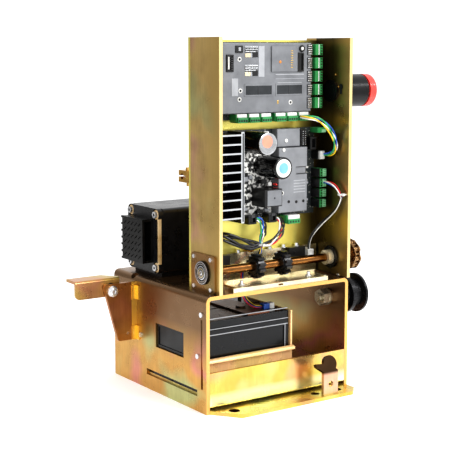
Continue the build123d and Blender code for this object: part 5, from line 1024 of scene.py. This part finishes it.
def wall_trim():
    """Keyhole, bolt and rivet inside the channel's right wall, and a screw low on it."""
    bolt = [(-0.4, 1.4), (0.8, 1.4), (1.2, 0.9)]
    screw = [(-0.6, 2.8), (1, 2.8), (1.6, 2)]
    return [
        stud("keyhole", (235.5, 18, 423), "x", 4, 0.3, NYLON, 20),
        block("keyhole_slot", (235.1, 15.8, 413), (235.8, 20, 423), 0.2, NYLON),
        turned("key_bolt", (235, 22.4, 423), "x", bolt, BRASS, 12),
        stud("wall_rivet", (235.6, 30, 439.6), "x", 1.3, 0.6, BRASS, 12, [(1.0, 0.9)]),
        turned("wall_screw", (236.2, 19.2, 157.2), "x", screw, BRIGHT, 16),
    ]


def shaded_hole_walls(name, x, radius, sides, shifts):
    """Wall lining a hole in the foot plate, and the holes like it, painted dark brown as the shade
    inside them.
    """
    inner = radius - 0.3
    sleeve = [(0.4, radius), (4.5, radius), (4.5, inner), (0.4, inner)]
    return row(turned(name, (x, -16, 0), "z", sleeve, SHADED_ZINC, sides), name, shifts)


def foot_trim():
    """Walls of the anchor and levelling holes, painted as shade, and the weld at the foot of the
    right wall in the same dark painted-shade zinc.
    """
    right, rear = 172, 277
    anchors = [(right, 0, 0), (0, rear, 0), (right, rear, 0)]
    return [
        *shaded_hole_walls("anchor_hole_shade", 33, 7.5, 32, anchors),
        *shaded_hole_walls("level_hole_shade", 168, 6, 28, [(0, rear, 0)]),
        block("wall_weld", (232.5, 3, 154), (236.6, 94, 157.8), 1.2, SHADED_ZINC),
    ]


def side_window():
    """Black pane in its frame behind the window of the left side."""
    pane = block("side_window", (2.4, 56.2, 65.2), (4.9, 127.8, 98.8), 0.4, BARREL)
    recess(pane, -X, 3.5, 1.2, NYLON)
    return [pane]


def pivot_bolt():
    """Lever's pivot: a domed head with a socket in front, its shank and its nut behind."""
    profile = [(-18.3, 5.4), (-13.4, 5.4), (-13.4, 3.9), (0.2, 3.9), (0.2, 8),
               (3, 7.9), (4.6, 6.8), (5.6, 5.0), (6, 3.0), (4.6, 2.6)]
    return turned("pivot_bolt", (-39, 180, 139), "y", profile, BRIGHT, 36)


def hardware():
    """Small fittings of the chassis and the channel."""
    pieces = rail_hardware() + motor_trim() + bearing_trim() + wall_trim() + case_ridge_highlights()
    pieces += side_window() + foot_trim()
    mount(joined("small_hardware", pieces), "operator", "bright_steel")
    mount(pivot_bolt(), "operator", "bright_steel", "lever_pivot_bolt")
    mount(shaft_end(), "limit_shaft", "bright_steel")


hardware()


# Floor and light


def white_room():
    """Bright even surround that falls off to the far left, as past the edge of a soft box."""
    world = bpy.data.worlds.new("white_room")
    world.use_nodes = True
    tree = world.node_tree
    way = add(tree, "TexCoord").outputs["Generated"]
    far_left = (-0.62, 0.78, 0)
    turn = add(tree, "VectorMath", {0: way, 1: far_left}, operation="DOT_PRODUCT").outputs["Value"]
    tint = ramp(tree, turn, [(0.6, "#FFFFFF"), (0.82, "#CFCECC"), (0.97, "#B0AFAD")])
    feed(tree, tree.nodes["Background"], {"Color": tint, "Strength": 1.05})
    bpy.context.scene.world = world


def white_floor():
    """White paper under the object, faintly lit from within so that it stays white."""
    deselect()
    bpy.ops.mesh.primitive_circle_add(vertices=96, radius=0.95, fill_type="NGON")
    floor = bpy.context.object
    floor.name = "studio_floor"
    material, tree, shader, where = new_material("white_paper_floor")
    paper = ramp(tree, noise(tree, where, 600, 1.0), [(0.3, "#FAFAFA"), (0.7, "#FFFFFF")])
    feed(tree, shader, {"Base Color": paper, "Roughness": 0.9,
                        "Emission Color": colour("#FFFFFF"), "Emission Strength": 0.15})
    floor.data.materials.append(material)


def lamp(name, watts, size, spot, aim):
    """Soft box of a width and a height, at a spot and aimed at another, all in metres."""
    data = bpy.data.lights.new(name, "AREA")
    data.energy = watts
    data.shape = "RECTANGLE"
    data.size, data.size_y = size
    box = bpy.data.objects.new(name, data)
    bpy.context.collection.objects.link(box)
    box.location = spot
    box.rotation_euler = (Vector(aim) - Vector(spot)).to_track_quat("-Z", "Y").to_euler()


def stage():
    """White floor, bright surround and soft studio lamps."""
    middle = (0, 0, 0.25)
    white_floor()
    white_room()
    lamp("key_from_front", 36, (0.9, 0.9), (0.7, -2.1, 1.4), middle)
    lamp("fill_from_left", 6, (1.2, 1.2), (-2.2, -0.8, 0.9), middle)
    # The limit shaft mirrors this one to the camera as a thin bright line.
    lamp("strip_over_shaft", 5, (1.1, 0.1), (0.95, -1.0, 1.16), (0.95, 0, 0.18))
    view = bpy.context.scene.view_settings
    view.view_transform = "Standard"
    view.look = "Medium High Contrast"


stage()
